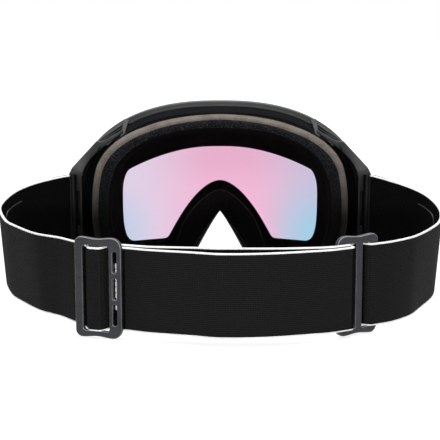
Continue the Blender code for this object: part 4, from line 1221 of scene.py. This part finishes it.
def strap_plan(name):
    """A strap's lengths from left to right: label, start, end and the bodies that it follows there."""
    (left_in, left_out), (right_in, right_out) = [
        (min(marks) - SLIDER_ROOM, max(marks) + SLIDER_ROOM) for marks in (LEFT_MARKS, RIGHT_MARKS)]
    cuts = [CLIP_END, CLIP_END + BEND_LENGTH, left_in - BEND_LENGTH, left_in,
            left_out, left_out + BEND_LENGTH, right_in - BEND_LENGTH, right_in,
            right_out, right_out + BEND_LENGTH,
            LOOP.length - CLIP_END - BEND_LENGTH, LOOP.length - CLIP_END]
    other = "right" if name == "left" else "left"
    clip, near, far = name + "_clip", name + "_slider", other + "_slider"
    bodies = [clip, clip, "frame", "frame", near, near, "frame", "frame", far, far]
    labels = list(LENGTH_LABELS)
    if name == "left":
        cuts = [-TURN_IN] + cuts[:8] + [RIGHT_MARKS[4] - END_SHORT]
    else:
        cuts = [LEFT_MARKS[4] + END_SHORT] + cuts[4:] + [LOOP.length + TURN_IN]
        labels.reverse()
        bodies.reverse()
    return list(zip(labels, cuts, cuts[1:], bodies, bodies[1:]))


def make_straps():
    """Each strap in lengths that ride on the clip, the frame or a slider, with unattached lengths in
    between.
    """
    for name, _ in SIDES:
        for label, start, end, first, second in strap_plan(name):
            piece = strap_length("%s_strap_%s" % (name, label), name, start, end)
            if first == second:
                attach(piece, first)
            else:
                bend_between(piece, name, start, end, first, second)
            if label == "side":
                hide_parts(name + "_strap")


def grip_path():
    """An open bracket on the strap's inside, as (length from the strap's start, height)."""
    first, last, low, high, radius = 31.0, 49.5, 7.3, STRAP_WIDTH - 7.3, 4.5
    path = [(first + (last - radius - first) * i / 7, low) for i in range(7)]
    for ch, start in ((low + radius, 270), (high - radius, 0)):
        for i in range(7):
            turn = math.radians(start + 15 * i)
            path.append((last - radius + radius * math.cos(turn), ch + radius * math.sin(turn)))
        if start == 270:
            path += [(last, low + radius + (high - low - 2 * radius) * i / 9) for i in range(1, 9)]
    return path + [(last - radius + (first - last + radius) * i / 7, high) for i in range(1, 8)]


# Cut of the silicone line: aside and raised from the strap's middle
GRIP_CUT = ((-0.45, 0.6), (-0.3, 1.05), (0.3, 1.05), (0.45, 0.6))


def make_grips():
    """A raised line of silicone on the inside of each strap."""
    path = grip_path()
    for name, side in SIDES:
        bm = bmesh.new()
        rings = []
        for i, (s, height) in enumerate(path):
            before, after = path[max(i - 1, 0)], path[min(i + 1, len(path) - 1)]
            run = Vector((after[0] - before[0], after[1] - before[1])).normalized()
            ring = []
            for aside, raised in GRIP_CUT:
                along, up = s - run.y * aside, height + run.x * aside
                reach = along if side < 0 else LOOP.length - along
                ring.append(bm.verts.new(strap_point(name, reach, -raised, up)))
            rings.append(ring)
        grip = finish_mesh(name + "_strap_grip", skin(bm, rings), [GRIP_SILICONE], 60)
        front = [length for length in strap_plan(name) if length[0] == "front"][0]
        bend_between(grip, name, *front[1:])


# Hem thread: heights and pitch of the stitches, half a stitch's length and width, and its thickness
STITCH_LOW, STITCH_HIGH, STITCH_PITCH = 9.6, 33.6, 3.0
STITCH_REACH, STITCH_WIDTH, STITCH_THICKNESS = 1.48, 0.65, 0.28
HEM_INSET = 3.0


def make_stitching():
    """A row of thread that closes the hem of each strap's end, seen through the slider's slots."""
    for name, strap, s, way in (("left", "right", LEFT_MARKS[4] + HEM_INSET, 1),
                                ("right", "left", RIGHT_MARKS[4] - HEM_INSET, -1)):
        middle, along, out = strap_frame(strap, s)
        bm = bmesh.new()
        for k in range(int((STITCH_HIGH - STITCH_LOW) / STITCH_PITCH)):
            centre = STITCH_LOW + STITCH_PITCH * (k + 0.5)
            rings = []
            for i in range(7):
                t = i / 3 - 1.0
                arch = 0.75 + 0.3 * (1.0 - t ** 4)
                width = STITCH_WIDTH * (1.0 - 0.3 * t ** 6)
                up = Vector((0.0, 0.0, centre + STITCH_REACH * t))
                turns = [math.radians(45 * j) for j in range(8)]
                rings.append([bm.verts.new(middle + along * width * math.cos(turn)
                                           + out * way * (arch + STITCH_THICKNESS * math.sin(turn)) + up)
                              for turn in turns])
            skin(bm, rings)
        thread = finish_mesh(name + "_hem_stitching", bm, [THREAD], 60)
        carry(thread, name + "_slider", "strap_black")


# -------- sliders
def rounded_outline(left, right, low, high, radii, dips=(0.0, 0.0)):
    """Points round a rectangle from its lower left: a radius at each corner, dips in two edges."""
    corners = [(left, low, 180), (right, low, 270), (right, high, 0), (left, high, 90)]
    points = []
    for (x, z, start), radius in zip(corners, radii):
        cx = x + (radius if x == left else -radius)
        cz = z + (radius if z == low else -radius)
        for i in range(9):
            turn = math.radians(start + 90 * i / 8)
            points.append((cx + radius * math.cos(turn), cz + radius * math.sin(turn)))
        if start in (270, 90):
            continue
        edge = 0 if start == 180 else 1
        a, b = (left + radius, right - radii[1]) if edge == 0 else (right - radius, left + radii[3])
        for i in range(1, 12):
            t = i / 12
            dip = dips[edge] * math.sin(math.pi * t) ** 2
            points.append((a + (b - a) * t, z + (dip if edge == 0 else -dip)))
    return points


def slider_outlines():
    half = SLIDER_WIDTH / 2
    window, floor = WINDOW_HEIGHT / 2, -WINDOW_HEIGHT / 2 - WINDOW_DROP
    outer = rounded_outline(-half, half, -SLIDER_HEIGHT / 2, SLIDER_HEIGHT / 2, (3.6, 5.2, 5.2, 3.6),
                            (0.7, 0.7))
    edge = -half + WIDE_BAR
    holes = [rounded_outline(edge, edge + STRAP_WINDOW, floor, window, (1.6, 0.5, 0.5, 1.6))]
    edge += STRAP_WINDOW + CENTRE_BAR
    holes.append(rounded_outline(edge, edge + STRAP_WINDOW, floor, window, (0.5, 1.6, 1.6, 0.5)))
    edge += STRAP_WINDOW + SLOT_BAR
    room = (WINDOW_HEIGHT - 4 * SLOT_BRIDGE) / 3
    for i in range(3):
        low = -window + SLOT_BRIDGE + i * (room + SLOT_BRIDGE)
        holes.append(rounded_outline(edge, edge + STITCH_SLOT, low, low + room, (0.9, 0.9, 0.9, 0.9)))
    return [outer] + holes


def slider_place(side):
    """The slider's middle in goggle millimetres and its directions: along, outward, up."""
    point, direction, normal = LOOP.at(LOOP.slider_middle(side))
    if side > 0:
        point = point + normal * INNER_SLIDER_SHIFT
        direction, normal = -direction, -normal
    return Vector((point.x, point.y, SLIDER_HEIGHT / 2)), direction, normal


EDGE_ROUND = 0.55


def make_sliders():
    for name, side in SIDES:
        drawing = bpy.data.curves.new(name + "_slider_drawing", "CURVE")
        drawing.dimensions = "2D"
        drawing.fill_mode = "BOTH"
        drawing.extrude = (BAR_THICKNESS / 2 - EDGE_ROUND) * MM
        drawing.bevel_depth = EDGE_ROUND * MM
        drawing.bevel_resolution = 3
        drawing.offset = -EDGE_ROUND * MM
        for outline in slider_outlines():
            spline = drawing.splines.new("POLY")
            spline.points.add(len(outline) - 1)
            for point, (x, z) in zip(spline.points, outline):
                point.co = (x * MM, z * MM, 0.0, 1.0)
            spline.use_cyclic_u = True
        draft = bpy.data.objects.new(name + "_slider_draft", drawing)
        bpy.context.scene.collection.objects.link(draft)
        bpy.context.view_layer.update()
        shape = draft.evaluated_get(bpy.context.evaluated_depsgraph_get())
        mesh = bpy.data.meshes.new_from_object(shape)
        bpy.data.objects.remove(draft, do_unlink=True)
        middle, along, normal = slider_place(side)
        turn = Matrix((along, Vector((0.0, 0.0, 1.0)), -normal)).transposed().to_4x4()
        mesh.transform(Matrix.Translation(row(middle)) @ turn)
        if turn.determinant() < 0.0:
            mesh.flip_normals()
        mesh.materials.clear()
        for finish in (SLIDER_SATIN, SLIDER_EDGE_HIGHLIGHT, SLIDER_GLINT):
            mesh.materials.append(finish)
        for polygon in mesh.polygons:
            polygon.use_smooth = True
            # Rounded edges take the painted highlight, the brightest where they face up
            on_edge = 0.25 < abs(polygon.normal.dot(normal)) < 0.95
            polygon.material_index = (2 if polygon.normal.z > 0.3 else 1) if on_edge else 0
        mesh.set_sharp_from_angle(angle=math.radians(40))
        buckle = bpy.data.objects.new(name + "_slider_buckle", mesh)
        bpy.context.scene.collection.objects.link(buckle)
        carry(buckle, name + "_slider", "slider_slate", name + "_slider")


# -------- stage, light and camera
def make_stage():
    bpy.ops.mesh.primitive_plane_add(size=6.0, location=(0.0, 0.0, -0.0002))
    floor = bpy.context.object
    floor.name = "studio_floor"
    material, shader, w = blank_finish("floor_pale", 0.9)
    w.feed(shader, "Base Color", (0.4, 0.4, 0.4))
    path = w.node("ShaderNodeLightPath")
    glow = w.node("ShaderNodeEmission")
    away = w.node("ShaderNodeVectorMath", operation="LENGTH")
    w.feed(away, 0, w.node("ShaderNodeNewGeometry").outputs["Position"])
    brightness = w.spread(away.outputs["Value"], 0.3, 0.9, 0.8, 1.0)
    w.feed(glow, "Strength", w.times(path.outputs["Is Camera Ray"], brightness))
    both = w.node("ShaderNodeAddShader")
    w.feed_all(both, {0: shader.outputs[0], 1: glow.outputs[0]})
    white = w.node("ShaderNodeEmission")
    choice = w.node("ShaderNodeMixShader")
    indirect = w.math("MAXIMUM", path.outputs["Is Glossy Ray"], path.outputs["Is Transmission Ray"])
    w.feed_all(choice, {0: indirect, 1: both.outputs[0], 2: white.outputs[0]})
    w.feed(w.tree.nodes["Material Output"], 0, choice.outputs[0])
    floor.data.materials.append(material)


def make_world():
    world = bpy.data.worlds.new("studio")
    bpy.context.scene.world = world
    world.use_nodes = True
    w = Wiring(world.node_tree)
    background = world.node_tree.nodes["Background"]
    path = w.node("ShaderNodeLightPath")
    indirect = w.math("MAXIMUM", path.outputs["Is Glossy Ray"], path.outputs["Is Transmission Ray"])
    seen = w.math("MAXIMUM", path.outputs["Is Camera Ray"], indirect)
    w.feed_all(background, {"Color": (1.0, 1.0, 1.0),
                            "Strength": w.spread(seen, 0.0, 1.0, 0.22, 1.0, False)})


def add_lamp(name, place_at, aim, size, power):
    lamp = bpy.data.lights.new(name, "AREA")
    lamp.shape = "RECTANGLE"
    lamp.size, lamp.size_y = size
    lamp.energy = power
    holder = bpy.data.objects.new(name, lamp)
    holder.location = place_at
    holder.rotation_euler = (Vector(aim) - Vector(place_at)).to_track_quat("-Z", "Y").to_euler()
    bpy.context.scene.collection.objects.link(holder)


def make_lights():
    add_lamp("overhead_softbox", (0.0, 0.1, 1.1), (0.0, 0.0, 0.05), (1.2, 1.0), 15.0)
    add_lamp("rear_fill", (0.0, -1.2, 0.09), (0.0, -0.1, 0.05), (0.9, 0.12), 9.0)


SENSOR_WIDTH, CAMERA_LENS = 36.0, 106.1
CAMERA_BACK, CAMERA_HEIGHT, CAMERA_DOWN = 0.7646, 0.177, 10.5


def make_camera():
    camera = bpy.data.cameras.new("camera")
    camera.sensor_width = SENSOR_WIDTH
    camera.lens = CAMERA_LENS
    camera.clip_start = 0.01
    holder = bpy.data.objects.new("camera", camera)
    holder.location = (0.0, DEPTH_SHIFT - CAMERA_BACK, CAMERA_HEIGHT)
    holder.rotation_euler = (math.radians(90.0 - CAMERA_DOWN), 0.0, 0.0)
    bpy.context.scene.collection.objects.link(holder)
    bpy.context.scene.camera = holder


def dress_plain_nodes():
    """Better finishes on the nodes whose shape stays."""
    pins = ("left_strap_pin", "right_strap_pin", "left_latch_pin", "right_latch_pin")
    for nodes, finish in ((pins, STEEL), (("lens_seal", "lens_spacer"), SEAL_RUBBER)):
        for node in nodes:
            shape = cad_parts[node]
            shape.data.materials.clear()
            shape.data.materials.append(finish)


make_camera()
make_frame_shell()
make_vent_foam()
make_face_foam()
make_lens_module()
make_latches()
make_outriggers()
make_clips()
make_straps()
make_grips()
make_stitching()
make_sliders()
dress_plain_nodes()
make_stage()
make_world()
make_lights()
bpy.context.scene.view_settings.view_transform = "Standard"
